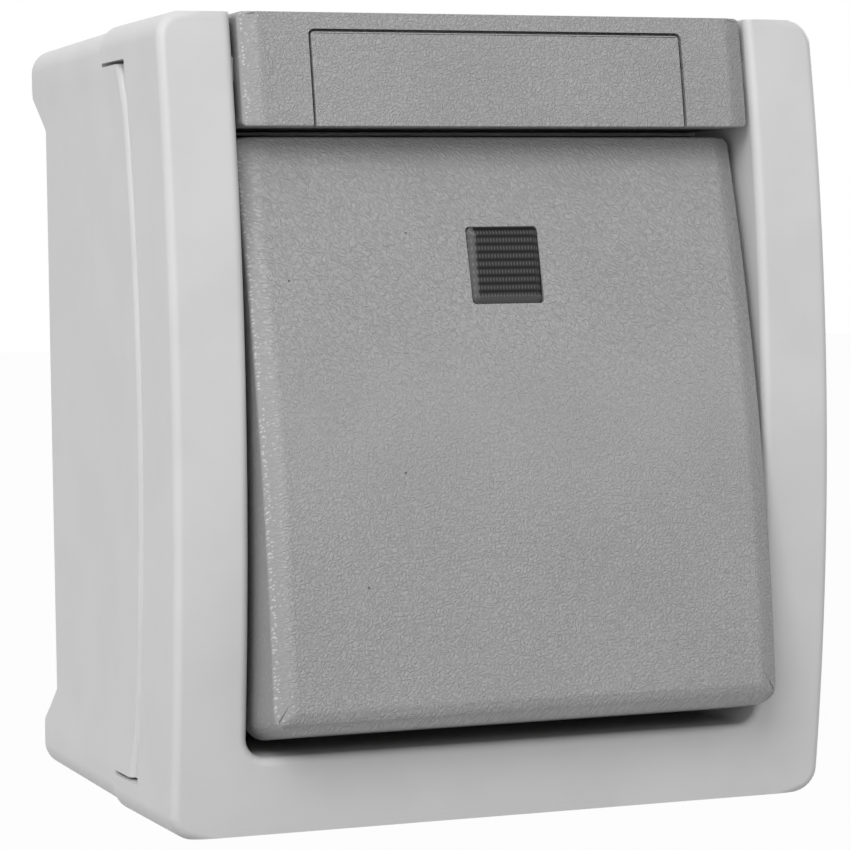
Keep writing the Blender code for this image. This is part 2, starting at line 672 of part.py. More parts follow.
def lip_front(level):
    """Front edge of the lip inside the frame: lower at the top, behind the web."""
    side = seam_y(max(level, -SEAM_TOP)) - LIP_LENGTH
    share = min(1.0, max(0.0, (level - HALF_HEIGHT + LIP_HEAD + LIP_SLOPE) / LIP_SLOPE))
    return side * (1 - share) + LIP_TOP_FRONT * share


def shoulder_foot(level):
    """Inner edge of the shoulder: it slopes back to the lip's front where the lip is low."""
    return max(box_shoulder(level), lip_front(level) + HAIR)


def lip_root(level):
    """Inner foot of the lip, behind the shoulder and the lip's front; near a head it goes back first."""
    near_head = abs(level) + ROOT_LEAD > HEAD_LEVEL
    return max(box_shoulder(HALF_HEIGHT if near_head else level) + LIP_THICK / 2, lip_front(level) + LIP_THICK)


def build_back_box(finish):
    """Deep wall box: draughted walls, arched front edge with a lip, notched rear sides."""
    rear_width, rear_height = BOX_HALF_WIDTH - BOX_DRAFT, BOX_HALF_HEIGHT - BOX_DRAFT
    lip_width, lip_height = LIP_HALF_WIDTH - LIP_THICK, LIP_HALF_HEIGHT - LIP_THICK
    inner_width, inner_height = BOX_HALF_WIDTH - BOX_WALL, BOX_HALF_HEIGHT - BOX_WALL
    notch_front = -NOTCH_DEPTH - BOX_WALL
    stepped = (BOX_HALF_WIDTH - STRIP_STEP, BOX_HALF_HEIGHT - STRIP_STEP, FRAME_CORNER - STRIP_STEP)
    loops = [box_loop(rear_width - inset, rear_height - inset, FRAME_CORNER - inset / 2, lambda z, b=back: -b)
             for inset, back in edge_round(BOX_REAR_EDGE)]
    loops += [
        box_loop(BOX_HALF_WIDTH, BOX_HALF_HEIGHT, FRAME_CORNER, box_wall_front),
        box_loop(*stepped, box_bevel_front),
        box_loop(*stepped, box_shoulder),
        box_loop(LIP_HALF_WIDTH, LIP_HALF_HEIGHT, LIP_CORNER, shoulder_foot, False),
        box_loop(LIP_HALF_WIDTH, LIP_HALF_HEIGHT, LIP_CORNER, lip_front, False),
        box_loop(lip_width, lip_height, LIP_INNER_CORNER, lip_front, False),
        box_loop(lip_width, lip_height, LIP_INNER_CORNER, lip_root, False),
        box_loop(inner_width, inner_height, BOX_INNER_CORNER, lambda z: lip_root(z) + 1.5 * LIP_THICK),
        box_loop(inner_width - BOX_DRAFT / 2, inner_height - BOX_DRAFT / 2, BOX_INNER_CORNER,
                 lambda z: notch_front),
        box_loop(NOTCH_INSIDE, inner_height - BOX_DRAFT, BOX_INNER_CORNER, lambda z: notch_front + 2 * HAIR,
                 False),
        box_loop(NOTCH_INSIDE, inner_height - BOX_DRAFT, BOX_INNER_CORNER, lambda z: -BOX_FLOOR, False),
    ]
    bm = bmesh.new()
    add_loops(bm, loops)
    box = to_object("back_box", bm, finish)
    for tool in box_additions():
        combine(box, tool, "UNION")
    for tool in box_cuts():
        combine(box, tool, "DIFFERENCE")
    return box


def box_additions():
    """Screw bosses, ribs under the mechanism, and collars round the wall screw holes."""
    seat = BASE_REAR + CLEAR
    root = -BOX_FLOOR / 2
    tools = [boss_tool(f"guide_boss_{i}", z) for i, z in enumerate(FIXING_Z)]
    for side in (-1, 1):
        xs = sorted((side * (RIB_X - RIB_THICK / 2), side * (RIB_X + RIB_THICK / 2)))
        tools.append(box_tool(f"guide_rib_{side}", (xs[0], seat, BASE_BOTTOM + RIB_END),
                              (xs[1], root, BASE_TOP - RIB_END)))
    for i, (x, z) in enumerate(WALL_HOLES):
        tools.append(rod_tool(f"guide_collar_{i}", COLLAR_RADIUS, (x, root, z), (0, -1, 0),
                              COLLAR_HEIGHT - root))
    return tools


def boss_tool(name, z):
    """Boss with a blind bore for a mechanism screw, rooted in the floor at height z."""
    root = BOX_FLOOR / 2
    height = -BASE_REAR - CLEAR - root
    bore = SCREW_RADIUS + CLEAR
    bm = bmesh.new()
    add_turned(bm, [(0, 0), (BOSS_RADIUS, 0), (BOSS_RADIUS, height), (bore, height), (bore, height - BOSS_BORE),
                    (0, height - BOSS_BORE)], (0, -root, z), (0, -1, 0))
    return to_object(name, bm)


def box_cuts():
    """Notches in the rear of the side walls, cable entries and wall screw holes."""
    tools = []
    high = HALF_HEIGHT - NOTCH_HEAD
    low = high - NOTCH_SLOPE
    past = high + NOTCH_SLOPE / NOTCH_DEPTH * OVERCUT
    outline = [(-NOTCH_DEPTH, -low), (-NOTCH_DEPTH, low), (OVERCUT, past), (OVERCUT, -past)]
    for side in (-1, 1):
        xs = sorted((side * (BOX_HALF_WIDTH - NOTCH_WIDTH), side * (HALF_WIDTH + OVERCUT)))
        tools.append(prism_tool(f"guide_notch_{side}", outline, *xs))
    for side in (-1, 1):
        start = side * (BOX_HALF_HEIGHT - 2 * BOX_WALL)
        tools.append(rod_tool(f"guide_entry_{side}", ENTRY_RADIUS, (0, ENTRY_Y, start), (0, 0, side),
                              3 * BOX_WALL))
    for i, (x, z) in enumerate(WALL_HOLES):
        tools.append(rod_tool(f"guide_wall_hole_{i}", WALL_HOLE_RADIUS, (x, OVERCUT, z), (0, -1, 0),
                              BOX_FLOOR + COLLAR_HEIGHT + 2 * OVERCUT))
    return tools


def build_gasket(finish):
    """Rubber ring that lies on the front edge of the box's lip."""
    outer = (LIP_HALF_WIDTH, LIP_HALF_HEIGHT, LIP_CORNER)
    inner = (LIP_HALF_WIDTH - LIP_THICK, LIP_HALF_HEIGHT - LIP_THICK, LIP_INNER_CORNER)

    def near(z):
        return lip_front(z) - CLEAR - GASKET_THICK

    def far(z):
        return lip_front(z) - CLEAR

    bm = bmesh.new()
    add_loops(bm, [box_loop(*outer, near, False), box_loop(*outer, far, False),
                   box_loop(*inner, far, False), box_loop(*inner, near, False)], ring=True)
    return to_object("cover_gasket", bm, finish)


def slab(bm, half_width, top, bottom, radii, near, far, count=5):
    """Adds a plate of rounded outline whose faces follow near(z) and far(z)."""
    outline = full_outline(half_outline(half_width, top, bottom, radii[1], even_rows(count), radii[0]))
    add_loops(bm, [place_loop(outline, lambda x, z: near(z)), place_loop(outline, lambda x, z: far(z))])


def bar_face(z):
    return front_y(z) - BAR_PROUD


def bar_loop(side_in, edge_in, depth):
    """One loop of the top bar, whose y at height z is depth(z)."""
    outline = full_outline(half_outline(BAR_HALF_WIDTH - side_in, HALF_HEIGHT - edge_in, BAR_BOTTOM + edge_in,
                                        BAR_LOW_CORNER, even_rows(5), max(BAR_CORNER - side_in, BAR_LOW_CORNER)))
    return place_loop(outline, lambda x, z: depth(z))


def build_top_bar(finish):
    """Dark bar above the rocker: chamfered ends, a label recess and two hooks behind."""
    rear = WEB_FRONT - CLEAR
    loops = [
        bar_loop(CHAMFER_WIDTH, EDGE_BREAK, bar_face),
        *(bar_loop(inset, inset / 2, lambda z, b=back: bar_face(z) + b) for inset, back in chamfer_edge()),
        bar_loop(0, 0, lambda z: rear),
        bar_loop(BAR_WALL, BAR_WALL, lambda z: rear),
        bar_loop(BAR_WALL, BAR_WALL, lambda z: bar_face(z) + BAR_PROUD + BAR_SKIN),
    ]
    bm = bmesh.new()
    add_loops(bm, loops)
    bar = to_object("top_bar", bm, finish)
    inside = bar_face(HOOK_Z) + BAR_SKIN / 2
    low = HOOK_Z - HOOK_THICK / 2
    for side in (-1, 1):
        near, far = side * HOOK_X - HOOK_HALF_WIDTH, side * HOOK_X + HOOK_HALF_WIDTH
        combine(bar, box_tool(f"guide_shank_{side}", (near, inside, low), (far, WEB_REAR + HOOK_TAIL,
                                                                           low + HOOK_THICK)), "UNION")
        combine(bar, box_tool(f"guide_nose_{side}", (near, WEB_REAR + CLEAR, low - HOOK_NOSE),
                              (far, WEB_REAR + HOOK_TAIL, HOOK_Z)), "UNION")
    bm = bmesh.new()
    slab(bm, LABEL_HALF_WIDTH + LABEL_GROOVE, LABEL_TOP + LABEL_GROOVE, BAR_BOTTOM - OVERCUT,
         (LABEL_CORNER + LABEL_GROOVE, CLEAR), lambda z: bar_face(z) - OVERCUT,
         lambda z: bar_face(z) + LABEL_THICK + CLEAR)
    combine(bar, to_object("guide_label_recess", bm), "DIFFERENCE")
    return bar


def build_label_panel(finish):
    bm = bmesh.new()
    slab(bm, LABEL_HALF_WIDTH, LABEL_TOP, BAR_BOTTOM, (LABEL_CORNER, CLEAR), bar_face,
         lambda z: bar_face(z) + LABEL_THICK)
    return to_object("label_panel", bm, finish)


def rocker_face(z):
    """Front of the rocker in its own frame, at height z above the pivot."""
    return -ROCKER_CHORD - arch(z - ROCKER_CENTRE, ROCKER_HALF_HEIGHT)


def rocker_loop(set_in, top_in, depth):
    """One loop of the rocker, set in at its sides and bottom and by top_in at its top."""
    outline = full_outline(half_outline(ROCKER_HALF_WIDTH - set_in, ROCKER_CENTRE + ROCKER_HALF_HEIGHT - top_in,
                                        ROCKER_CENTRE - ROCKER_HALF_HEIGHT + set_in,
                                        max(ROCKER_CORNER - set_in, LEAST_CORNER), even_rows(SIDE_ROWS),
                                        max(ROCKER_TOP_CORNER - set_in, LEAST_CORNER)))
    return place_loop(outline, lambda x, z: depth(z))


def build_push_rocker(finish):
    """Rocker shell, in its own frame: arched face chamfered on three sides, skirt and clip lugs."""
    rear = ROCKER_SKIRT - ROCKER_CHORD
    loops = [
        rocker_loop(CHAMFER_WIDTH, EDGE_BREAK, rocker_face),
        *(rocker_loop(inset, inset / 2, lambda z, b=back: rocker_face(z) + b) for inset, back in chamfer_edge()),
        rocker_loop(0, 0, lambda z: rear),
        rocker_loop(ROCKER_WALL, ROCKER_WALL, lambda z: rear),
        rocker_loop(ROCKER_WALL, ROCKER_WALL, lambda z: rocker_face(z) + ROCKER_SKIN),
    ]
    bm = bmesh.new()
    add_loops(bm, loops)
    rocker = to_object("push_rocker", bm, finish)
    skin = rocker_face(0) + ROCKER_SKIN / 2
    reach = YOKE_RADIUS + LUG_CHEEK
    for side in (-1, 1):
        xs = sorted((side * (LUG_SPACING - LUG_THICK) / 2, side * (LUG_SPACING + LUG_THICK) / 2))
        combine(rocker, box_tool(f"guide_clip_lug_{side}", (xs[0], skin, -reach), (xs[1], LUG_REACH, reach)),
                "UNION")
    collar_end = ROCKER_SKIN + COLLAR_DEPTH
    combine(rocker, lens_box("guide_lens_collar", LENS_COLLAR, ROCKER_SKIN / 2, collar_end), "UNION")
    clip = LUG_SPACING / 2 + LUG_THICK
    combine(rocker, rod_tool("guide_clip_bore", YOKE_RADIUS + CLEAR, (-clip, 0, 0), (1, 0, 0), 2 * clip),
            "DIFFERENCE")
    combine(rocker, lens_box("guide_lens_pocket", LENS_FIT, -2 * OVERCUT, LENS_LEDGE + CLEAR), "DIFFERENCE")
    combine(rocker, lens_box("guide_lens_window", -LENS_LEDGE, -OVERCUT, ROCKER_SKIN + OVERCUT), "DIFFERENCE")
    combine(rocker, lens_box("guide_guide_seat", -GUIDE_SET_IN, ROCKER_SKIN, collar_end + OVERCUT), "DIFFERENCE")
    return rocker


def lens_box(name, grown, near, far):
    """Guide box round the lens's outline, grown by a margin, between two depths behind the face."""
    front = rocker_face(LENS_Z)
    half_width, half_height = LENS_WIDTH / 2 + grown, LENS_HEIGHT / 2 + grown
    return box_tool(name, (-half_width, front + near, LENS_Z - half_height),
                    (half_width, front + far, LENS_Z + half_height))


def build_indicator_lens(finish):
    """Smoked lens with a bevelled rim, slightly proud, and a foot that reaches the light guide."""
    front = rocker_face(LENS_Z)
    foot = LENS_LEDGE + CLEAR
    stages = [(LENS_RIM, -LENS_PROUD), (0.0, HAIR / 2), (0.0, LENS_LEDGE), (foot, LENS_LEDGE),
              (foot, ROCKER_SKIN - CLEAR)]
    loops = []
    for set_in, back in stages:
        outline = full_outline(half_outline(LENS_WIDTH / 2 - set_in, LENS_Z + LENS_HEIGHT / 2 - set_in,
                                            LENS_Z - LENS_HEIGHT / 2 + set_in,
                                            max(LENS_CORNER - set_in, LEAST_CORNER), even_rows(2)))
        loops.append(place_loop(outline, lambda x, z, b=back: front + b))
    bm = bmesh.new()
    add_loops(bm, loops)
    return to_object("indicator_lens", bm, finish)


def build_light_guide(finish):
    front = rocker_face(LENS_Z) + ROCKER_SKIN + CLEAR
    half_width = LENS_WIDTH / 2 - GUIDE_SET_IN - CLEAR
    half_height = LENS_HEIGHT / 2 - GUIDE_SET_IN - CLEAR
    bm = bmesh.new()
    add_bevelled_box(bm, (-half_width, front, LENS_Z - half_height),
                     (half_width, front + GUIDE_LENGTH, LENS_Z + half_height), LEAST_CORNER)
    return to_object("light_guide", bm, finish)


def build_rocker_yoke(finish):
    """Lever on the pivot pin: a tube that the rocker clips on, and the arm to the plunger."""
    length = 2 * YOKE_HALF_LENGTH
    bore = PIN_RADIUS + PIN_FIT
    edge = YOKE_RADIUS - YOKE_CHAMFER
    bm = bmesh.new()
    add_turned(bm, [(bore, 0), (bore, length), (edge, length), (YOKE_RADIUS, length - YOKE_CHAMFER),
                    (YOKE_RADIUS, YOKE_CHAMFER), (edge, 0)], (-YOKE_HALF_LENGTH, 0, 0), (1, 0, 0))
    yoke = to_object("rocker_yoke", bm, finish)
    start = (bore + YOKE_RADIUS) / 2
    half = ARM_THICK / 2
    toe = ARM_LENGTH + ARM_TOE
    outline = [(start, -half), (ARM_LENGTH, -half), (toe, -ARM_TOE_HALF), (toe, half), (start, half)]
    combine(yoke, prism_tool("guide_arm", outline, -ARM_HALF_WIDTH, ARM_HALF_WIDTH), "UNION")
    return yoke


def build_pivot_pin(finish):
    half = CHEEK_X + CHEEK_THICK - PIN_SHORT
    tip = PIN_RADIUS - PIN_CHAMFER
    bm = bmesh.new()
    add_turned(bm, [(0, 0), (tip, 0), (PIN_RADIUS, PIN_CHAMFER), (PIN_RADIUS, 2 * half - PIN_CHAMFER),
                    (tip, 2 * half), (0, 2 * half)], (-half, PIVOT_Y, PIVOT_Z), (1, 0, 0))
    return to_object("pivot_pin", bm, finish)


def build_mechanism_base(finish):
    """Moulded base: contact chamber, terminal pockets, pin cheeks and fixing lugs."""
    bm = bmesh.new()
    add_bevelled_box(bm, (-BASE_HALF_WIDTH, BASE_FRONT, BASE_BOTTOM), (BASE_HALF_WIDTH, BASE_REAR, BASE_TOP),
                     BASE_EDGE)
    base = to_object("mechanism_base", bm, finish)
    for side in (-1, 1):
        xs = sorted((side * CHEEK_X, side * (CHEEK_X + CHEEK_THICK)))
        combine(base, prism_tool(f"guide_cheek_{side}", cheek_outline(), *xs), "UNION")
    for end, z in ((BASE_TOP, FIXING_Z[0]), (BASE_BOTTOM, FIXING_Z[1])):
        outward = math.copysign(1.0, z)
        zs = sorted((end - outward * BASE_ROOT, z + outward * FIXING_LUG_HALF))
        combine(base, box_tool(f"guide_fixing_lug_{int(outward)}",
                               (-FIXING_LUG_HALF, BASE_REAR - FIXING_LUG_THICK, zs[0]),
                               (FIXING_LUG_HALF, BASE_REAR - HAIR, zs[1])), "UNION")
    for tool in base_cuts():
        combine(base, tool, "DIFFERENCE")
    for tool in chamber_guides():
        combine(base, tool, "UNION")
    return base


def cheek_outline():
    """Side view of a pin cheek: flared at the base, with a blunt nose in front of the pin."""
    root = BASE_FRONT + BASE_ROOT
    wide = CHEEK_HALF + CHEEK_FLARE
    nose = PIVOT_Y - CHEEK_NOSE
    return [(root, PIVOT_Z - wide), (PIVOT_Y, PIVOT_Z - CHEEK_HALF), (nose, PIVOT_Z - CHEEK_HALF / 2),
            (nose, PIVOT_Z + CHEEK_HALF / 2), (PIVOT_Y, PIVOT_Z + CHEEK_HALF), (root, PIVOT_Z + wide)]


def base_cuts():
    """Chamber, terminal pockets, slots for the contact strips, wire ways and bores."""
    ahead = BASE_FRONT - OVERCUT
    tools = [box_tool("guide_chamber", (-CHAMBER_HALF_WIDTH, ahead, CHAMBER_BOTTOM),
                      (CHAMBER_HALF_WIDTH, CHAMBER_REAR, CHAMBER_TOP))]
    half_width, half_height = TERMINAL_WIDTH / 2 + CLEAR, TERMINAL_HEIGHT / 2 + CLEAR
    rear = TERMINAL_FRONT + TERMINAL_DEPTH + CLEAR
    for side in (-1, 1):
        x = side * TERMINAL_X
        for z in TERMINAL_Z:
            level = "upper" if z > 0 else "lower"
            tools.append(box_tool(f"guide_pocket_{level}_{side}", (x - half_width, ahead, z - half_height),
                                  (x + half_width, rear, z + half_height)))
            out = BASE_TOP + OVERCUT if z > 0 else BASE_BOTTOM - OVERCUT
            zs = sorted((z + math.copysign(half_height - OVERCUT, z), out))
            tools.append(box_tool(f"guide_wire_way_{level}_{side}", (x - WIRE_WAY_HALF, WIRE_NEAR, zs[0]),
                                  (x + WIRE_WAY_HALF, WIRE_FAR, zs[1])))
        xs = sorted((side * (CHAMBER_HALF_WIDTH - OVERCUT), side * (TERMINAL_X - half_width + OVERCUT)))
        tools.append(box_tool(f"guide_strip_slot_{side}", (xs[0], ahead, FIXED_LOW - CLEAR),
                              (xs[1], WIRE_FAR, FIXED_LOW + STRIP_THICK + CLEAR)))
    reach = CHEEK_X + CHEEK_THICK + OVERCUT
    tools.append(rod_tool("guide_pin_bore", PIN_RADIUS + PIN_FIT, (-reach, PIVOT_Y, PIVOT_Z), (1, 0, 0),
                          2 * reach))
    for i, z in enumerate(FIXING_Z):
        tools.append(rod_tool(f"guide_lug_bore_{i}", SCREW_RADIUS + CLEAR, (0, BASE_REAR + OVERCUT, z), (0, -1, 0),
                              FIXING_LUG_THICK + 2 * OVERCUT))
    return tools


def chamber_guides():
    """Slotted block that guides the plunger, and the peg that centres the spring."""
    low, high = PLUNGER_FOOT + GUIDE_ENDS[0], PLUNGER_TOP - GUIDE_ENDS[1]
    inner = PLUNGER_HALF_WIDTH + CLEAR
    outer = inner + GUIDE_WALL
    back = PLUNGER_Y + PLUNGER_HALF_DEPTH + CLEAR
    tools = [box_tool("guide_backing", (-outer, back, low), (outer, CHAMBER_REAR + OVERCUT, high))]
    for side in (-1, 1):
        xs = sorted((side * inner, side * outer))
        tools.append(box_tool(f"guide_rail_{side}", (xs[0], BASE_FRONT + 2 * HAIR, low),
                              (xs[1], back + OVERCUT, high)))
    tools.append(rod_tool("guide_spring_peg", PEG_RADIUS, (0, PLUNGER_Y, CHAMBER_TOP + OVERCUT), (0, 0, -1),
                          SPRING_PEG + OVERCUT, SCREW_STEPS))
    return tools


def build_mechanism_cover(finish):
    """Plate that closes the chamber, with a slot for the yoke's arm."""
    half = CHAMBER_HALF_WIDTH + COVER_LAP
    rear = COVER_FRONT + COVER_THICK
    bm = bmesh.new()
    add_bevelled_box(bm, (-half, COVER_FRONT, CHAMBER_BOTTOM - COVER_LAP_BOTTOM),
                     (half, rear, CHAMBER_TOP + COVER_LAP_TOP), COVER_EDGE)
    cover = to_object("mechanism_cover", bm, finish)
    rise = (rear - PIVOT_Y) * math.tan(ROCKER_TRAVEL)
    margin = ARM_THICK / 2 + SLOT_MARGIN
    across = ARM_HALF_WIDTH + SLOT_MARGIN
    combine(cover, box_tool("guide_arm_slot", (-across, COVER_FRONT - OVERCUT, PIVOT_Z - margin),
                            (across, rear + OVERCUT, PIVOT_Z + margin + rise)), "DIFFERENCE")
    return cover


def build_contact_plunger(finish):
    """Slider with a round nose on the yoke's arm, and a peg for the bridge and spring."""
    nose = PLUNGER_NOSE
    near, far = PLUNGER_Y - PLUNGER_HALF_DEPTH, PLUNGER_Y + PLUNGER_HALF_DEPTH
    round_nose = [(PLUNGER_Y + nose * math.cos(a), PLUNGER_FOOT + nose + nose * math.sin(a))
                  for a in (math.pi * (1 + i / 8) for i in range(9))]
    shoulder = PLUNGER_FOOT + PLUNGER_SHOULDER
    outline = [(near, PLUNGER_TOP), (near, shoulder), *round_nose, (far, shoulder), (far, PLUNGER_TOP)]
    plunger = prism_tool("contact_plunger", outline, -PLUNGER_HALF_WIDTH, PLUNGER_HALF_WIDTH)
    plunger.data.materials.append(finish)
    combine(plunger, rod_tool("guide_plunger_peg", PEG_RADIUS, (0, PLUNGER_Y, PLUNGER_TOP - OVERCUT), (0, 0, 1),
                              PEG_LENGTH + OVERCUT, SCREW_STEPS), "UNION")
    return plunger


def contact_tip(name, x, root, direction, radius):
    """Guide for a riveted contact tip that stands out of a strip whose middle is at height root."""
    height = STRIP_THICK / 2 + TIP_HEIGHT
    bm = bmesh.new()
    add_turned(bm, [(0, 0), (radius, 0), (radius, height - TIP_EDGE), (radius - TIP_SLOPE, height), (0, height)],
               (x, PLUNGER_Y, root), (0, 0, direction), SCREW_STEPS)
    return to_object(name, bm)


def build_contact_bridge(finish):
    """Moving copper strip with two contact tips, on the plunger's peg."""
    half, depth = BRIDGE_HALF_LENGTH, STRIP_HALF_DEPTH
    bm = bmesh.new()
    add_bevelled_box(bm, (-half, PLUNGER_Y - depth, BRIDGE_LOW),
                     (half, PLUNGER_Y + depth, BRIDGE_LOW + STRIP_THICK), CONTACT_EDGE)
    bridge = to_object("contact_bridge", bm, finish)
    for side in (-1, 1):
        combine(bridge, contact_tip(f"guide_moving_tip_{side}", side * TIP_X, BRIDGE_LOW + STRIP_THICK / 2, 1,
                                    TIP_RADIUS), "UNION")
    combine(bridge, rod_tool("guide_bridge_hole", PEG_RADIUS + CLEAR, (0, PLUNGER_Y, BRIDGE_LOW - OVERCUT),
                             (0, 0, 1), STRIP_THICK + 2 * OVERCUT, SCREW_STEPS), "DIFFERENCE")
    return bridge


def build_fixed_contact(name, side, finish):
    """Bent copper strip from the contact tip to the terminal."""
    near, far = PLUNGER_Y - STRIP_HALF_DEPTH, PLUNGER_Y + STRIP_HALF_DEPTH
    tail = (WIRE_NEAR + CLEAR, WIRE_FAR - CLEAR)
    inner = TIP_X - TIP_RADIUS
    leg = CHAMBER_HALF_WIDTH - CONTACT_WALL_GAP
    end = TERMINAL_X + TERMINAL_WIDTH / 2 - STRIP_END
    outline = [(inner, near), (leg, near), (leg, tail[0]), (end, tail[0]), (end, tail[1]),
               (leg - STRIP_LEG, tail[1]), (leg - STRIP_LEG, far), (inner, far)]
    bm = bmesh.new()
    rings = [[bm.verts.new((side * x, y, z)) for x, y in outline] for z in (FIXED_LOW, FIXED_LOW + STRIP_THICK)]
    for i in range(len(outline)):
        j = (i + 1) % len(outline)
        bm.faces.new((rings[0][i], rings[0][j], rings[1][j], rings[1][i]))
    for ring in rings:
        bm.faces.new(ring)
    strip = to_object(name, bm, finish)
    combine(strip, contact_tip(f"guide_fixed_tip_{side}", side * TIP_X, FIXED_LOW + STRIP_THICK / 2, -1,
                               FIXED_TIP_RADIUS), "UNION")
    return strip


def build_return_spring(finish):
    """Compression spring between the bridge and the chamber's top wall."""
    low = BRIDGE_LOW + STRIP_THICK + CLEAR + SPRING_WIRE / 2
    high = CHAMBER_TOP - CLEAR - SPRING_WIRE / 2
    steps, sides = 12 * SPRING_TURNS, 6
    bm = bmesh.new()
    rings = []
    for i in range(steps + 1):
        share = i / steps
        angle = 2 * math.pi * SPRING_TURNS * share
        ease = share - math.sin(2 * math.pi * share) / (2 * math.pi) * SPRING_CLOSING
        centre = Vector((SPRING_RADIUS * math.cos(angle), PLUNGER_Y + SPRING_RADIUS * math.sin(angle),
                         low + (high - low) * ease))
        outward = Vector((math.cos(angle), math.sin(angle), 0))
        ring = []
        for k in range(sides):
            a = 2 * math.pi * k / sides
            around = outward * math.cos(a) + Vector((0, 0, math.sin(a)))
            ring.append(bm.verts.new(centre + SPRING_WIRE / 2 * around))
        rings.append(ring)
    for near, far in zip(rings, rings[1:]):
        for k in range(sides):
            m = (k + 1) % sides
            bm.faces.new((near[k], near[m], far[m], far[k]))
    bm.faces.new(rings[0])
    bm.faces.new(rings[-1])
    return to_object("return_spring", bm, finish)


def build_terminal(name, x, z, finish):
    """Brass terminal cage with a wire hole, a slot for the strip and a screw hole."""
    half_width, half_height = TERMINAL_WIDTH / 2, TERMINAL_HEIGHT / 2
    bm = bmesh.new()
    add_bevelled_box(bm, (x - half_width, TERMINAL_FRONT, z - half_height),
                     (x + half_width, TERMINAL_FRONT + TERMINAL_DEPTH, z + half_height), TERMINAL_EDGE)
    clamp = to_object(f"terminal_clamp_{name}", bm, finish)
    over = half_height + OVERCUT
    combine(clamp, box_tool(f"guide_wire_hole_{name}", (x - WIRE_HOLE_HALF, WIRE_NEAR, z - over),
                            (x + WIRE_HOLE_HALF, WIRE_FAR, z + over)), "DIFFERENCE")
    if z > 0:
        across = half_width + OVERCUT
        combine(clamp, box_tool(f"guide_strip_hole_{name}", (x - across, WIRE_NEAR, FIXED_LOW - CLEAR),
                                (x + across, WIRE_FAR, FIXED_LOW + STRIP_THICK + CLEAR)), "DIFFERENCE")
    combine(clamp, rod_tool(f"guide_screw_hole_{name}", SCREW_RADIUS + CLEAR, (x, TERMINAL_FRONT - OVERCUT, z),
                            (0, 1, 0), WIRE_HOLE[0] + 1.5 * OVERCUT, SCREW_STEPS), "DIFFERENCE")
    return clamp


def build_screw(name, place, head, shank, slot_width, finish):
    """Slotted screw along Y: the head's seat is at place, and the shank runs towards the wall."""
    head_radius, head_height = head
    rim, tip = head_radius - SCREW_CHAMFER, SCREW_RADIUS - SCREW_CHAMFER
    bm = bmesh.new()
    add_turned(bm, [(0, -head_height), (rim, -head_height), (head_radius, SCREW_CHAMFER - head_height),
                    (head_radius, 0), (SCREW_RADIUS, 0), (SCREW_RADIUS, shank - 2 * SCREW_CHAMFER),
                    (tip, shank), (0, shank)], place, (0, 1, 0), SCREW_STEPS)
    screw = to_object(name, bm, finish)
    x, y, z = place
    across = head_radius + OVERCUT
    combine(screw, box_tool(f"guide_slot_{name}", (x - slot_width / 2, y - head_height - OVERCUT, z - across),
                            (x + slot_width / 2, y - head_height / 2, z + across)), "DIFFERENCE")
    return screw


def build_lamp_holder(finish):
    """Block on the cover with a round socket for the lamp."""
    rear = COVER_FRONT - CLEAR
    bm = bmesh.new()
    add_bevelled_box(bm, (-HOLDER_HALF_WIDTH, rear - HOLDER_LENGTH, LAMP_Z - HOLDER_HALF_HEIGHT),
                     (HOLDER_HALF_WIDTH, rear, LAMP_Z + HOLDER_HALF_HEIGHT), HOLDER_EDGE)
    holder = to_object("lamp_holder", bm, finish)
    combine(holder, rod_tool("guide_lamp_bore", LAMP_RADIUS + CLEAR, (0, rear - HOLDER_LENGTH - OVERCUT, LAMP_Z),
                             (0, 1, 0), HOLDER_LENGTH + OVERCUT - HOLDER_FLOOR), "DIFFERENCE")
    return holder


def build_signal_lamp(finish):
    """Small glow lamp with a domed end, seated in the holder."""
    seat = COVER_FRONT - CLEAR - HOLDER_FLOOR - CLEAR
    dome = [(LAMP_RADIUS * math.cos(a), LAMP_LENGTH - LAMP_RADIUS + LAMP_RADIUS * math.sin(a))
            for a in (math.pi / 2 * i / 5 for i in range(5))]
    bm = bmesh.new()
    foot = [(0, 0), (LAMP_RADIUS - LAMP_FOOT_SET_IN, 0), (LAMP_RADIUS, LAMP_FOOT)]
    add_turned(bm, [*foot, *dome, (0, LAMP_LENGTH)], (0, seat, LAMP_Z), (0, -1, 0))
    return to_object("signal_lamp", bm, finish)


def lead_way(side):
    """Points that a lamp lead follows: out of the holder, over the base and down into the terminal."""
    holder = Vector((HOLDER_HALF_WIDTH, COVER_FRONT + CLEAR - HOLDER_LENGTH / 2, LAMP_Z))
    corner = Vector((TERMINAL_X, BASE_FRONT, BASE_TOP + LEAD_RISE))
    entry = Vector((TERMINAL_X, (WIRE_NEAR + WIRE_FAR) / 2, BASE_TOP + LEAD_RISE))
    end = Vector((TERMINAL_X, entry.y, TERMINAL_Z[0] + LEAD_END))
    way = [(holder, (0.3, 0.0, 1.0)), (holder, (3.0, 0.0, 2.4)), (holder, (7.0, 0.3, 5.8)),
           (corner, (-2.0, -1.8, -0.9)), (corner, (0.0, 2.0, 0.0)), (entry, (0.0, -1.7, -0.8)),
           (entry, (0.0, 0.0, -3.6)), (end, (0.0, 0.0, 0.0))]
    points = [anchor + MM * Vector(offset) for anchor, offset in way]
    return [Vector((side * point.x, point.y, point.z)) for point in points]


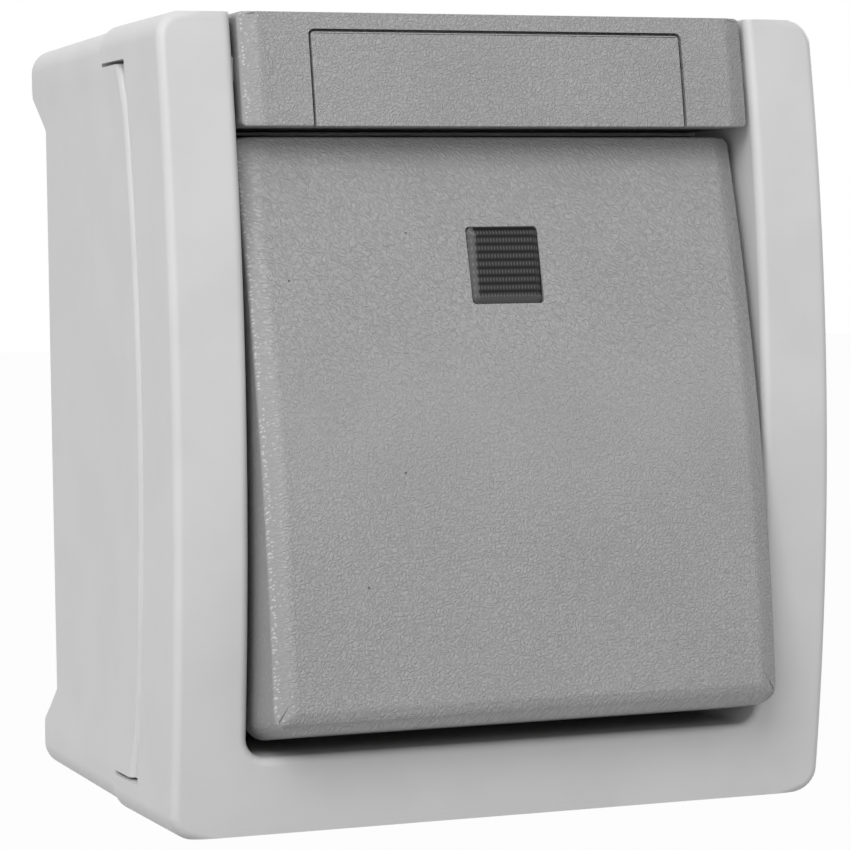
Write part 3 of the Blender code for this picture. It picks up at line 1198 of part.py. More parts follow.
def build_lamp_lead(name, side, finish):
    """Short insulated wire from the lamp holder over the base into the upper terminal."""
    points = smooth_way(lead_way(side), 3)
    curve = bpy.data.curves.new(name, "CURVE")
    curve.dimensions = "3D"
    curve.resolution_u = 1
    curve.render_resolution_u = 0
    curve.bevel_depth = LEAD_RADIUS
    curve.bevel_resolution = 2
    curve.use_fill_caps = True
    spline = curve.splines.new("POLY")
    spline.points.add(len(points) - 1)
    for point, place in zip(spline.points, points):
        point.co = (*place, 1.0)
    curve.materials.append(finish)
    item = bpy.data.objects.new(name, curve)
    bpy.context.collection.objects.link(item)
    return item


def smooth_way(points, steps):
    """Points of a smooth curve through the given points."""
    padded = [2 * points[0] - points[1], *points, 2 * points[-1] - points[-2]]
    way = []
    for a, b, c, d in zip(padded, padded[1:], padded[2:], padded[3:]):
        for i in range(steps):
            t = i / steps
            way.append(0.5 * (2 * b + (c - a) * t + (2 * a - 5 * b + 4 * c - d) * t * t
                              + (3 * b - a - 3 * c + d) * t ** 3))
    return way + [points[-1]]


def build_entry_grommet(name, side, finish):
    """Rubber cable entry: a flange each side of the box's wall and a thin closed cup."""
    wall_out = BOX_HALF_HEIGHT - BOX_DRAFT / 2
    high, low = wall_out + CLEAR, wall_out - BOX_WALL - CLEAR
    neck = ENTRY_RADIUS - CLEAR
    flange = ENTRY_RADIUS + ENTRY_FLANGE
    bore = neck - ENTRY_NECK
    top, bottom = high + ENTRY_FLANGE_THICK, low - ENTRY_FLANGE_THICK
    cup, cup_low = ENTRY_CUP_RADIUS, low - ENTRY_CUP
    skin = ENTRY_MEMBRANE
    profile = [(0, cup_low), (cup, cup_low), (cup, low), (bore, low), (bore, top),
               (flange - ENTRY_FLANGE_EDGE, top), (flange, high), (neck, high), (neck, low), (flange, low),
               (flange, bottom), (cup + skin, bottom), (cup + skin, cup_low - skin), (0, cup_low - skin)]
    bm = bmesh.new()
    add_turned(bm, profile, (0, ENTRY_Y, 0), (0, 0, side))
    return to_object(name, bm, finish)


def build_wall_seal(name, x, z, finish):
    """Rubber plug that seals a wall screw's hole until it is pierced."""
    neck, head = WALL_HOLE_RADIUS - CLEAR, COLLAR_RADIUS - SEAL_SET_IN
    start = -BOX_FLOOR - COLLAR_HEIGHT - CLEAR - SEAL_HEAD
    length = -start - SEAL_SHORT
    bm = bmesh.new()
    add_turned(bm, [(0, 0), (head, 0), (head, SEAL_HEAD), (neck, SEAL_HEAD), (neck, length), (0, length)],
               (x, start, z), (0, 1, 0))
    return to_object(name, bm, finish)


def build_model():
    """Builds every piece, one named object each."""
    clear_scene()
    finish = make_finishes()
    build_back_box(finish["light_housing"])
    build_cover_frame(finish["light_housing"])
    build_gasket(finish["rubber"])
    build_top_bar(finish["dark_grained"])
    build_label_panel(finish["dark_grained"])
    build_entry_grommet("top_cable_grommet", 1, finish["rubber"])
    build_entry_grommet("bottom_cable_grommet", -1, finish["rubber"])
    for name, (x, z) in zip(("upper", "lower"), WALL_HOLES):
        build_wall_seal(f"wall_screw_seal_{name}", x, z, finish["rubber"])

    pivot = add_empty("rocker_pivot", (0, PIVOT_Y, PIVOT_Z))
    tilt = add_empty("rocker_rest_tilt", (0, 0, 0), pivot)
    tilt.rotation_euler = (-ROCKER_TILT, 0, 0)
    hang(build_rocker_yoke(finish["black_moulding"]), pivot)
    hang(build_push_rocker(finish["dark_grained"]), tilt)
    hang(build_indicator_lens(finish["smoked_lens"]), tilt)
    hang(build_light_guide(finish["clear_guide"]), tilt)

    build_pivot_pin(finish["steel"])
    build_mechanism_base(finish["black_moulding"])
    build_mechanism_cover(finish["white_moulding"])
    for item in (build_contact_plunger(finish["white_moulding"]), build_contact_bridge(finish["copper"])):
        origin_at(item, (0, PLUNGER_Y, PLUNGER_FOOT))
    build_return_spring(finish["steel"])
    for name, side in (("left", -1), ("right", 1)):
        build_fixed_contact(f"fixed_contact_{name}", side, finish["copper"])
        build_lamp_lead(f"lamp_lead_{name}", side, finish["lead_sleeve"])
        for level, z in zip(("upper", "lower"), TERMINAL_Z):
            build_terminal(f"{level}_{name}", side * TERMINAL_X, z, finish["brass"])
            seat = (side * TERMINAL_X, TERMINAL_FRONT - CLEAR, z)
            build_screw(f"terminal_screw_{level}_{name}", seat, (TERMINAL_SCREW_RADIUS, TERMINAL_SCREW_HEAD),
                        WIRE_HOLE[0], TERMINAL_SCREW_SLOT, finish["steel"])
    for name, z in zip(("upper", "lower"), FIXING_Z):
        seat = (0, BASE_REAR - FIXING_LUG_THICK - CLEAR, z)
        build_screw(f"mechanism_screw_{name}", seat, (SCREW_HEAD_RADIUS, SCREW_HEAD), SCREW_SHANK, SCREW_SLOT,
                    finish["steel"])
    build_lamp_holder(finish["white_moulding"])
    build_signal_lamp(finish["lamp_glass"])


build_model()
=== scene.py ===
"""Looks of a surface-mounted push-button switch with a signal lens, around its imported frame.

Each sub-assembly is a class that holds its sizes, models its shells and dresses them.
All sizes are in metres in the frame of the part: wall at y 0, front towards -Y, +Z up.
"""
import json
import logging
import math
from dataclasses import dataclass, field
from enum import Enum
from typing import Callable, Dict, List, Optional, Sequence, Tuple, Union

import bmesh
import bpy
from mathutils import Matrix, Vector


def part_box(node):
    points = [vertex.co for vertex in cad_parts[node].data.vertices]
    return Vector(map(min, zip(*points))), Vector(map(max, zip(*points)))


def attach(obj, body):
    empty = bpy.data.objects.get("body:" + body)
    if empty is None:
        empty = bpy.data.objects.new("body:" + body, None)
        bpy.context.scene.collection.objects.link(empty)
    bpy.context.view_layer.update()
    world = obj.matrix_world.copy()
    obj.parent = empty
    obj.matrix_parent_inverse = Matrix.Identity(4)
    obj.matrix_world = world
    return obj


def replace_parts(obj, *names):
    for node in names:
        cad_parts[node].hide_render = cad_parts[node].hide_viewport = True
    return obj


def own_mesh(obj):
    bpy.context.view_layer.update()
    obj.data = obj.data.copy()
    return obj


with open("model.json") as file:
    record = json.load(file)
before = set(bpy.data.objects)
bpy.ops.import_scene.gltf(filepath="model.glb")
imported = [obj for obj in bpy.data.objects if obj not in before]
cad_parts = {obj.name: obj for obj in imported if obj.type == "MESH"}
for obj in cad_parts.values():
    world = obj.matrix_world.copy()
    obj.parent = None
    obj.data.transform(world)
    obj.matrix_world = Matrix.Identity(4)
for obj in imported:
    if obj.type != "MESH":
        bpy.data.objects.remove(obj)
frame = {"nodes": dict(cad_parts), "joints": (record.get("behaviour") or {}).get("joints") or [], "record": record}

LOG = logging.getLogger("push_button_switch")
MM = 0.001
PAST = 20.0 * MM                     # tools reach this far past what they cut
HAIR = MM / 100                      # tolerance of places that should be the same
NEAR = MM / 10                       # tolerance of places that lie close together
WELD = MM / 500                      # vertices closer than this become one
ARCH_SIDES = 720                     # facets of a large arch, all the way round
CLOUD = (0.3, 0.7)                   # range of soft noise that clouds are made of
Place = Tuple[float, float, float]


class Body(Enum):
    """Bodies that the new pieces ride on."""

    HOUSING = "housing"
    ROCKER = "rocker"


class Slot(Enum):
    """Material slots of the record."""

    LIGHT_HOUSING = "light_housing"
    DARK_GRAINED = "dark_grained"
    SMOKED_LENS = "smoked_lens"
    CLEAR_GUIDE = "clear_guide"
    BLACK_MOULDING = "black_moulding"
    WHITE_MOULDING = "white_moulding"
    STEEL = "steel"
    BRASS = "brass"
    COPPER = "copper"
    RUBBER = "rubber"
    LAMP_GLASS = "lamp_glass"
    LEAD_SLEEVE = "lead_sleeve"


class Part(Enum):
    """Mesh elements that a modelling step selects."""

    VERT = "VERT"
    EDGE = "EDGE"
    FACE = "FACE"


# Modelling tools

class Form:
    """A mesh that is modelled as by hand: a primitive, edit-mode steps and applied modifiers."""

    def __init__(self, item: bpy.types.Object) -> None:
        """Wraps a mesh object."""
        self.item = item

    @staticmethod
    def _deselect() -> None:
        """Leaves nothing selected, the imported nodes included."""
        if bpy.context.object is not None and bpy.context.object.mode != "OBJECT":
            bpy.ops.object.mode_set(mode="OBJECT")
        bpy.ops.object.select_all(action="DESELECT")

    def _take(self) -> None:
        """Selects this mesh alone and makes it the active one."""
        self._deselect()
        self.item.select_set(True)
        bpy.context.view_layer.objects.active = self.item

    @classmethod
    def _placed(cls, name: str) -> "Form":
        """Names the new primitive and puts its place into its mesh."""
        item = bpy.context.active_object
        item.name = item.data.name = name
        bpy.ops.object.transform_apply(location=True, rotation=True, scale=True)
        return cls(item)

    @classmethod
    def block(cls, name: str, low: Sequence[float], high: Sequence[float]) -> "Form":
        """Adds a block.

        Args:
            name: name of the piece.
            low: its lowest corner.
            high: its highest corner.

        Returns:
            The new form.
        """
        cls._deselect()
        centre = [(a + b) / 2 for a, b in zip(low, high)]
        size = [b - a for a, b in zip(low, high)]
        bpy.ops.mesh.primitive_cube_add(size=1, location=centre, scale=size)
        return cls._placed(name)

    @classmethod
    def rod(cls, name: str, radius: float, start: Sequence[float], direction: Sequence[float],
            length: float, sides: int = 96) -> "Form":
        """Adds a round rod.

        Args:
            name: name of the piece.
            radius: its radius.
            start: middle of its first end.
            direction: unit vector along it.
            length: its length.
            sides: facets round it.

        Returns:
            The new form.
        """
        cls._deselect()
        way = Vector(direction)
        turn = way.to_track_quat("Z", "Y").to_euler()
        centre = Vector(start) + way * length / 2
        bpy.ops.mesh.primitive_cylinder_add(vertices=sides, radius=radius, depth=length, location=centre,
                                            rotation=turn)
        return cls._placed(name)

    @classmethod
    def turned(cls, name: str, profile: Sequence[Tuple[float, float]], foot: Sequence[float],
               axis: Sequence[float], steps: int = 96) -> "Form":
        """Spins a profile into a closed turned piece.

        Args:
            name: name of the piece.
            profile: (radius, height) points; its ends lie on the axis.
            foot: point on the axis at height 0.
            axis: unit vector of the axis.
            steps: facets round it.

        Returns:
            The new form.
        """
        cls._deselect()
        way, origin = Vector(axis), Vector(foot)
        across = way.orthogonal().normalized()
        points = [origin + across * radius + way * height for radius, height in profile]
        bpy.ops.mesh.primitive_plane_add(size=MM)
        form = cls._placed(name)
        form._pick(Part.VERT, lambda vert: vert.index > 0)
        bpy.ops.mesh.delete(type="VERT")
        bpy.ops.mesh.select_all(action="SELECT")
        here = bmesh.from_edit_mesh(form.item.data).verts[:][0].co.copy()
        bpy.ops.transform.translate(value=points[0] - here)
        for near, far in zip(points, points[1:]):
            bpy.ops.mesh.extrude_region_move(TRANSFORM_OT_translate={"value": far - near})
        bpy.ops.mesh.select_all(action="SELECT")
        bpy.ops.mesh.spin(steps=steps, angle=2 * math.pi, center=origin, axis=way)
        bpy.ops.mesh.select_all(action="SELECT")
        bpy.ops.mesh.remove_doubles(threshold=MM / 1000)
        bpy.ops.mesh.normals_make_consistent(inside=False)
        return form._close()

    def _pick(self, part: Part, test: Callable[[object], bool]) -> None:
        """Opens the mesh and selects the elements that pass the test."""
        self._take()
        bpy.ops.object.mode_set(mode="EDIT")
        bpy.ops.mesh.select_mode(type=part.value)
        bpy.ops.mesh.select_all(action="DESELECT")
        mesh = bmesh.from_edit_mesh(self.item.data)
        mesh.normal_update()
        elements = {Part.VERT: mesh.verts, Part.EDGE: mesh.edges, Part.FACE: mesh.faces}[part]
        elements.index_update()
        chosen = [element for element in elements if test(element)]
        if not chosen:
            raise ValueError(f"{self.item.name}: no {part.value.lower()} is at the place of this step")
        for element in chosen:
            element.select_set(True)
        bmesh.update_edit_mesh(self.item.data)

    def _close(self) -> "Form":
        """Leaves edit mode."""
        bpy.ops.object.mode_set(mode="OBJECT")
        return self

    def round_edges(self, test: Callable[[bmesh.types.BMEdge], bool], width: float,
                    segments: int = 6) -> "Form":
        """Rounds the edges that pass the test.

        Args:
            test: says whether an edge is rounded.
            width: width of the rounding, a radius on a square edge.
            segments: steps of the rounding, 1 for a flat chamfer.

        Returns:
            The form itself.
        """
        self._pick(Part.EDGE, test)
        bpy.ops.mesh.bevel(offset_type="OFFSET", offset=width, segments=segments, profile=0.5,
                           affect="EDGES", clamp_overlap=False)
        return self._close()

    def move(self, test: Callable[[Vector], bool], offset: Sequence[float]) -> "Form":
        """Moves the vertices whose place passes the test, and returns the form."""
        self._pick(Part.VERT, lambda vert: test(vert.co))
        bpy.ops.transform.translate(value=offset)
        return self._close()

    def resize(self, test: Callable[[Vector], bool], factors: Sequence[float]) -> "Form":
        """Scales the vertices whose place passes the test about the origin, and returns the form."""
        self._pick(Part.VERT, lambda vert: test(vert.co))
        bpy.ops.transform.resize(value=factors, center_override=(0, 0, 0))
        return self._close()

    def step_face(self, test: Callable[[bmesh.types.BMFace], bool], inset: float,
                  offset: Sequence[float], extrude: bool = False) -> "Form":
        """Insets the faces that pass the test and moves what is left of them.

        Args:
            test: says whether a face is chosen.
            inset: how far the outline is set in.
            offset: where the inner face goes.
            extrude: True for upright walls between the two, False for a slope.

        Returns:
            The form itself.
        """
        self._pick(Part.FACE, test)
        if inset:
            bpy.ops.mesh.inset(thickness=inset, depth=0.0)
        if extrude:
            bpy.ops.mesh.extrude_region_move(TRANSFORM_OT_translate={"value": offset})
        else:
            bpy.ops.transform.translate(value=offset)
        return self._close()

    def slice(self, point: Sequence[float], normal: Sequence[float], trim: bool = False) -> "Form":
        """Cuts the mesh along a plane.

        Args:
            point: a point of the plane.
            normal: its normal.
            trim: True removes what lies on the normal's side and closes the cut.

        Returns:
            The form itself.
        """
        self._pick(Part.FACE, lambda face: True)
        bpy.ops.mesh.bisect(plane_co=point, plane_no=normal, use_fill=trim, clear_outer=trim)
        return self._close()

    def turn(self, matrix: Matrix) -> "Form":
        """Turns and moves the whole mesh by a matrix, applied, and returns the form."""
        self._take()
        self.item.matrix_world = matrix
        bpy.ops.object.transform_apply(location=True, rotation=True, scale=True)
        return self

    def _apply(self, kind: str, **settings: object) -> "Form":
        """Adds a modifier with these settings and applies it."""
        self._take()
        modifier = self.item.modifiers.new(kind.lower(), kind)
        for key, value in settings.items():
            setattr(modifier, key, value)
        bpy.ops.object.modifier_apply(modifier=modifier.name)
        return self

    def _combine(self, tools: Sequence["Form"], operation: str) -> "Form":
        """Applies an exact Boolean with each tool, which is then removed."""
        for tool in tools:
            self._apply("BOOLEAN", operation=operation, solver="EXACT", object=tool.item)
            mesh = tool.item.data
            bpy.data.objects.remove(tool.item)
            bpy.data.meshes.remove(mesh)
        return self

    def cut(self, *tools: "Form") -> "Form":
        """Takes the tools away from the form."""
        return self._combine(tools, "DIFFERENCE")

    def join(self, *tools: "Form") -> "Form":
        """Melts the tools into the form."""
        return self._combine(tools, "UNION")

    def common(self, *tools: "Form") -> "Form":
        """Keeps what lies inside the form and each tool."""
        return self._combine(tools, "INTERSECT")

    def soften(self, width: float, angle_deg: float, segments: int = 3) -> "Form":
        """Rounds every edge sharper than an angle by a small width."""
        return self._apply("BEVEL", width=width, segments=segments, limit_method="ANGLE",
                           angle_limit=math.radians(angle_deg), use_clamp_overlap=False)

    def done(self, smooth_deg: float = 35.0) -> bpy.types.Object:
        """Cleans the mesh and shades it smooth up to an angle.

        Args:
            smooth_deg: edges sharper than this stay sharp.

        Returns:
            The finished object.
        """
        self._pick(Part.FACE, lambda face: True)
        bpy.ops.mesh.remove_doubles(threshold=WELD)
        bpy.ops.mesh.fill_holes(sides=4)
        volume = bmesh.from_edit_mesh(self.item.data).calc_volume(signed=True)
        self._close()
        if volume <= 0:
            raise ValueError(f"{self.item.name} is inside out")
        bpy.ops.object.shade_smooth_by_angle(angle=math.radians(smooth_deg))
        self._apply("WEIGHTED_NORMAL", mode="FACE_AREA", keep_sharp=True)
        return self.item


def along(axis: int) -> Callable[[bmesh.types.BMEdge], bool]:
    """Test for edges parallel to an axis: 0 is X, 1 is Y, 2 is Z."""
    def test(edge: bmesh.types.BMEdge) -> bool:
        way = (edge.verts[1].co - edge.verts[0].co).normalized()
        return abs(way[axis]) > 0.999
    return test


def middle(element: object) -> Vector:
    """Middle of an edge or a face."""
    verts = element.verts
    return sum((vert.co for vert in verts), Vector()) / len(verts)


def is_rim(edge: bmesh.types.BMEdge) -> bool:
    """Test for the edges between the front and a side."""
    fronts = [-face.normal.y for face in edge.link_faces]
    return len(fronts) == 2 and max(fronts) > 0.9 and abs(min(fronts)) < 0.3


@dataclass(frozen=True)
class Arch:
    """Large cylinder along X that gives fronts and seams their arched form.

    Attributes:
        half: half height of the arched stretch.
        rise: how far its middle stands in front of its ends.
        ends_y: depth of its ends.
        middle_z: height of its middle.
    """

    half: float
    rise: float
    ends_y: float
    middle_z: float = 0.0

    @property
    def radius(self) -> float:
        """Radius of the arch."""
        return (self.half ** 2 + self.rise ** 2) / (2 * self.rise)

    @property
    def axis_y(self) -> float:
        """Depth of the cylinder's axis."""
        return self.ends_y - self.rise + self.radius

    def y(self, z: float) -> float:
        """Depth of the arched surface at height z."""
        return self.axis_y - math.sqrt(self.radius ** 2 - (z - self.middle_z) ** 2)

    def tool(self, name: str, proud: float = 0.0) -> Form:
        """Makes the cylinder.

        Args:
            name: name of the tool.
            proud: how far in front of the arch its surface lies.

        Returns:
            The tool.
        """
        start = (-3 * PAST, self.axis_y, self.middle_z)
        return Form.rod(name, self.radius + proud, start, (1, 0, 0), 6 * PAST, sides=ARCH_SIDES)

    def chamfer_tool(self, name: str, x: float, slope: float) -> Form:
        """Makes a cylinder turned a little, whose surface falls back from the arch beyond a line.

        Args:
            name: name of the tool.
            x: place of the line along X, whose sign gives the side.
            slope: fall per length along X.

        Returns:
            The tool.
        """
        angle = math.atan(slope) * math.copysign(1, x)
        radius = self.radius / math.cos(angle)
        way = Vector((math.cos(angle), math.sin(angle), 0))
        crossing = Vector((x, self.ends_y - self.rise + self.radius / math.cos(angle) ** 2, self.middle_z))
        return Form.rod(name, radius, crossing - way * 12 * PAST, way, 24 * PAST, sides=ARCH_SIDES)


# Shader tools

Value = Union[float, Sequence[float], "Wire"]


class Wire:
    """A shader socket that takes part in Python expressions by adding Math nodes."""

    def __init__(self, graph: "Graph", socket: bpy.types.NodeSocket) -> None:
        """Wraps an output socket of a graph."""
        self.graph = graph
        self.socket = socket

    def __add__(self, other: Value) -> "Wire":
        """Sum."""
        return self.graph.math("ADD", self, other)

    __radd__ = __add__

    def __sub__(self, other: Value) -> "Wire":
        """Difference."""
        return self.graph.math("SUBTRACT", self, other)

    def __rsub__(self, other: Value) -> "Wire":
        """Difference from a number."""
        return self.graph.math("SUBTRACT", other, self)

    def __mul__(self, other: Value) -> "Wire":
        """Product."""
        return self.graph.math("MULTIPLY", self, other)

    __rmul__ = __mul__

    def __truediv__(self, other: Value) -> "Wire":
        """Quotient."""
        return self.graph.math("DIVIDE", self, other)

    def __abs__(self) -> "Wire":
        """Size without sign."""
        return self.graph.math("ABSOLUTE", self)

    def other(self, name: str) -> "Wire":
        """Another output of the same node."""
        return Wire(self.graph, self.socket.node.outputs[name])

    def fraction(self) -> "Wire":
        """Part behind the point."""
        return self.graph.math("FRACT", self)

    def step(self, low: float, high: float) -> "Wire":
        """Smooth step from 0 at low to 1 at high."""
        return self.graph.node("ShaderNodeMapRange", {"Value": self, "From Min": low, "From Max": high},
                               interpolation_type="SMOOTHSTEP")

    def fade(self, low: float, high: float) -> "Wire":
        """Smooth step from 1 at low to 0 at high."""
        return 1 - self.step(low, high)


class Graph:
    """Node tree of one material or world."""

    def __init__(self, owner: Union[bpy.types.Material, bpy.types.World]) -> None:
        """Empties the owner's node tree and works on it."""
        owner.use_nodes = True
        self.owner = owner
        self.tree = owner.node_tree
        self.tree.nodes.clear()

    @classmethod
    def of_material(cls, name: str) -> "Graph":
        """Starts a new material."""
        return cls(bpy.data.materials.new(name))

    def node(self, kind: str, inputs: Dict[Union[int, str], Value], output: Union[int, str] = 0,
             **settings: object) -> Wire:
        """Adds a node.

        Args:
            kind: type of the node.
            inputs: value or link of each socket, by name or number.
            output: the output socket that is wanted.
            settings: properties of the node, set first.

        Returns:
            The output socket.
        """
        node = self.tree.nodes.new(kind)
        for key, value in settings.items():
            setattr(node, key, value)
        for key, value in inputs.items():
            socket = node.inputs[key]
            if isinstance(value, Wire):
                self.tree.links.new(value.socket, socket)
            else:
                socket.default_value = value
        return Wire(self, node.outputs[output])

    def math(self, operation: str, *values: Value) -> Wire:
        """Adds a Math node on these values."""
        return self.node("ShaderNodeMath", dict(enumerate(values)), operation=operation)

    def place(self) -> Wire:
        """Place on the piece, in metres."""
        return self.node("ShaderNodeTexCoord", {}, "Object")

    def mapped(self, vector: Wire, location: Place = (0, 0, 0), rotation: Place = (0, 0, 0),
               scale: Place = (1, 1, 1), kind: str = "POINT") -> Wire:
        """Moves, turns and scales a place."""
        inputs = {"Vector": vector, "Location": location, "Rotation": rotation, "Scale": scale}
        return self.node("ShaderNodeMapping", inputs, vector_type=kind)

    def axis(self, vector: Wire, name: str) -> Wire:
        """One component of a vector: X, Y or Z."""
        return self.node("ShaderNodeSeparateXYZ", {"Vector": vector}, name)

    def noise(self, vector: Wire, pitch: float, detail: float = 2.0, flat: bool = False) -> Wire:
        """Soft noise with features about as wide as the pitch, in space or over X and Y alone."""
        return self.node("ShaderNodeTexNoise", {"Vector": vector, "Scale": 1 / pitch, "Detail": detail},
                         noise_dimensions="2D" if flat else "3D")

    def mix(self, share: Value, first: Value, second: Value) -> Wire:
        """Mixes two colours, each a constant or a link, by a share."""
        first, second = (side if isinstance(side, Wire) else (*side, 1) for side in (first, second))
        return self.node("ShaderNodeMix", {0: share, 6: first, 7: second}, 2, data_type="RGBA")

    def mottled(self, cloud: Wire, colour: Sequence[float], amount: float) -> Wire:
        """A colour that a cloud makes a little darker and lighter."""
        return self.mix(cloud.step(*CLOUD), times(colour, 1 - amount), times(colour, 1 + amount))

    def bump(self, height: Wire, depth: float, strength: float = 1.0) -> Wire:
        """Bump from a height of 0 to 1, with its real depth."""
        return self.node("ShaderNodeBump", {"Height": height, "Distance": depth, "Strength": strength},
                         "Normal")

    def seen(self) -> Wire:
        """1 on what the camera sees, straight, mirrored or through clear plastic."""
        path = self.node("ShaderNodeLightPath", {}, "Is Camera Ray")
        mirrored = self.math("MAXIMUM", path, path.other("Is Glossy Ray"))
        return self.math("MAXIMUM", mirrored, path.other("Is Transmission Ray"))

    def finish(self, inputs: Dict[str, Value]) -> bpy.types.Material:
        """Ends the tree in a Principled shader with these inputs, and returns the material."""
        return self.end(self.node("ShaderNodeBsdfPrincipled", inputs))

    def end(self, shader: Wire, kind: str = "ShaderNodeOutputMaterial") -> bpy.types.ID:
        """Sends a shader to an output of this kind, and returns the material or world."""
        output = self.tree.nodes.new(kind)
        self.tree.links.new(shader.socket, output.inputs["Surface"])
        return self.owner


def grey(level: float) -> Place:
    """Neutral colour of a linear level."""
    return (level, level, level)


def times(colour: Sequence[float], factor: float) -> Place:
    """A colour made lighter or darker."""
    return tuple(channel * factor for channel in colour)


# Finishes

@dataclass(frozen=True)
class HousingPlastic:
    """Light grey satin moulding with faint mottling, a few specks and a very fine bump."""

    colour: Place = grey(0.62)
    roughness: float = 0.42
    mottle: float = 0.025
    mottle_pitch: float = 9 * MM
    skin_pitch: float = 0.16 * MM
    skin_depth: float = 0.004 * MM
    speck_cell: float = 2.6 * MM
    speck_radius: float = 0.13 * MM
    speck_share: float = 0.035
    speck_strength: float = 0.55
    speck_shade: float = 0.3

    def material(self) -> bpy.types.Material:
        """Makes the material."""
        graph = Graph.of_material("light_housing_plastic")
        place = graph.place()
        cloud = graph.noise(place, self.mottle_pitch, 3)
        cell = {"Vector": place, "Scale": 1 / self.speck_cell}
        near = graph.node("ShaderNodeTexVoronoi", cell, "Distance")
        lot = graph.node("ShaderNodeSeparateColor", {0: near.other("Color")})
        size = self.speck_radius / self.speck_cell
        speck = near.fade(size / 2, size) * lot.fade(self.speck_share, self.speck_share * 1.1)
        tone = graph.mix(speck * self.speck_strength, graph.mottled(cloud, self.colour, self.mottle),
                         times(self.colour, self.speck_shade))
        skin = graph.noise(place, self.skin_pitch, 2)
        return graph.finish({
            "Base Color": tone, "Roughness": self.roughness + (cloud - 0.5) * 0.06,
            "Normal": graph.bump(skin, self.skin_depth, 0.6), "Specular IOR Level": 0.4,
        })


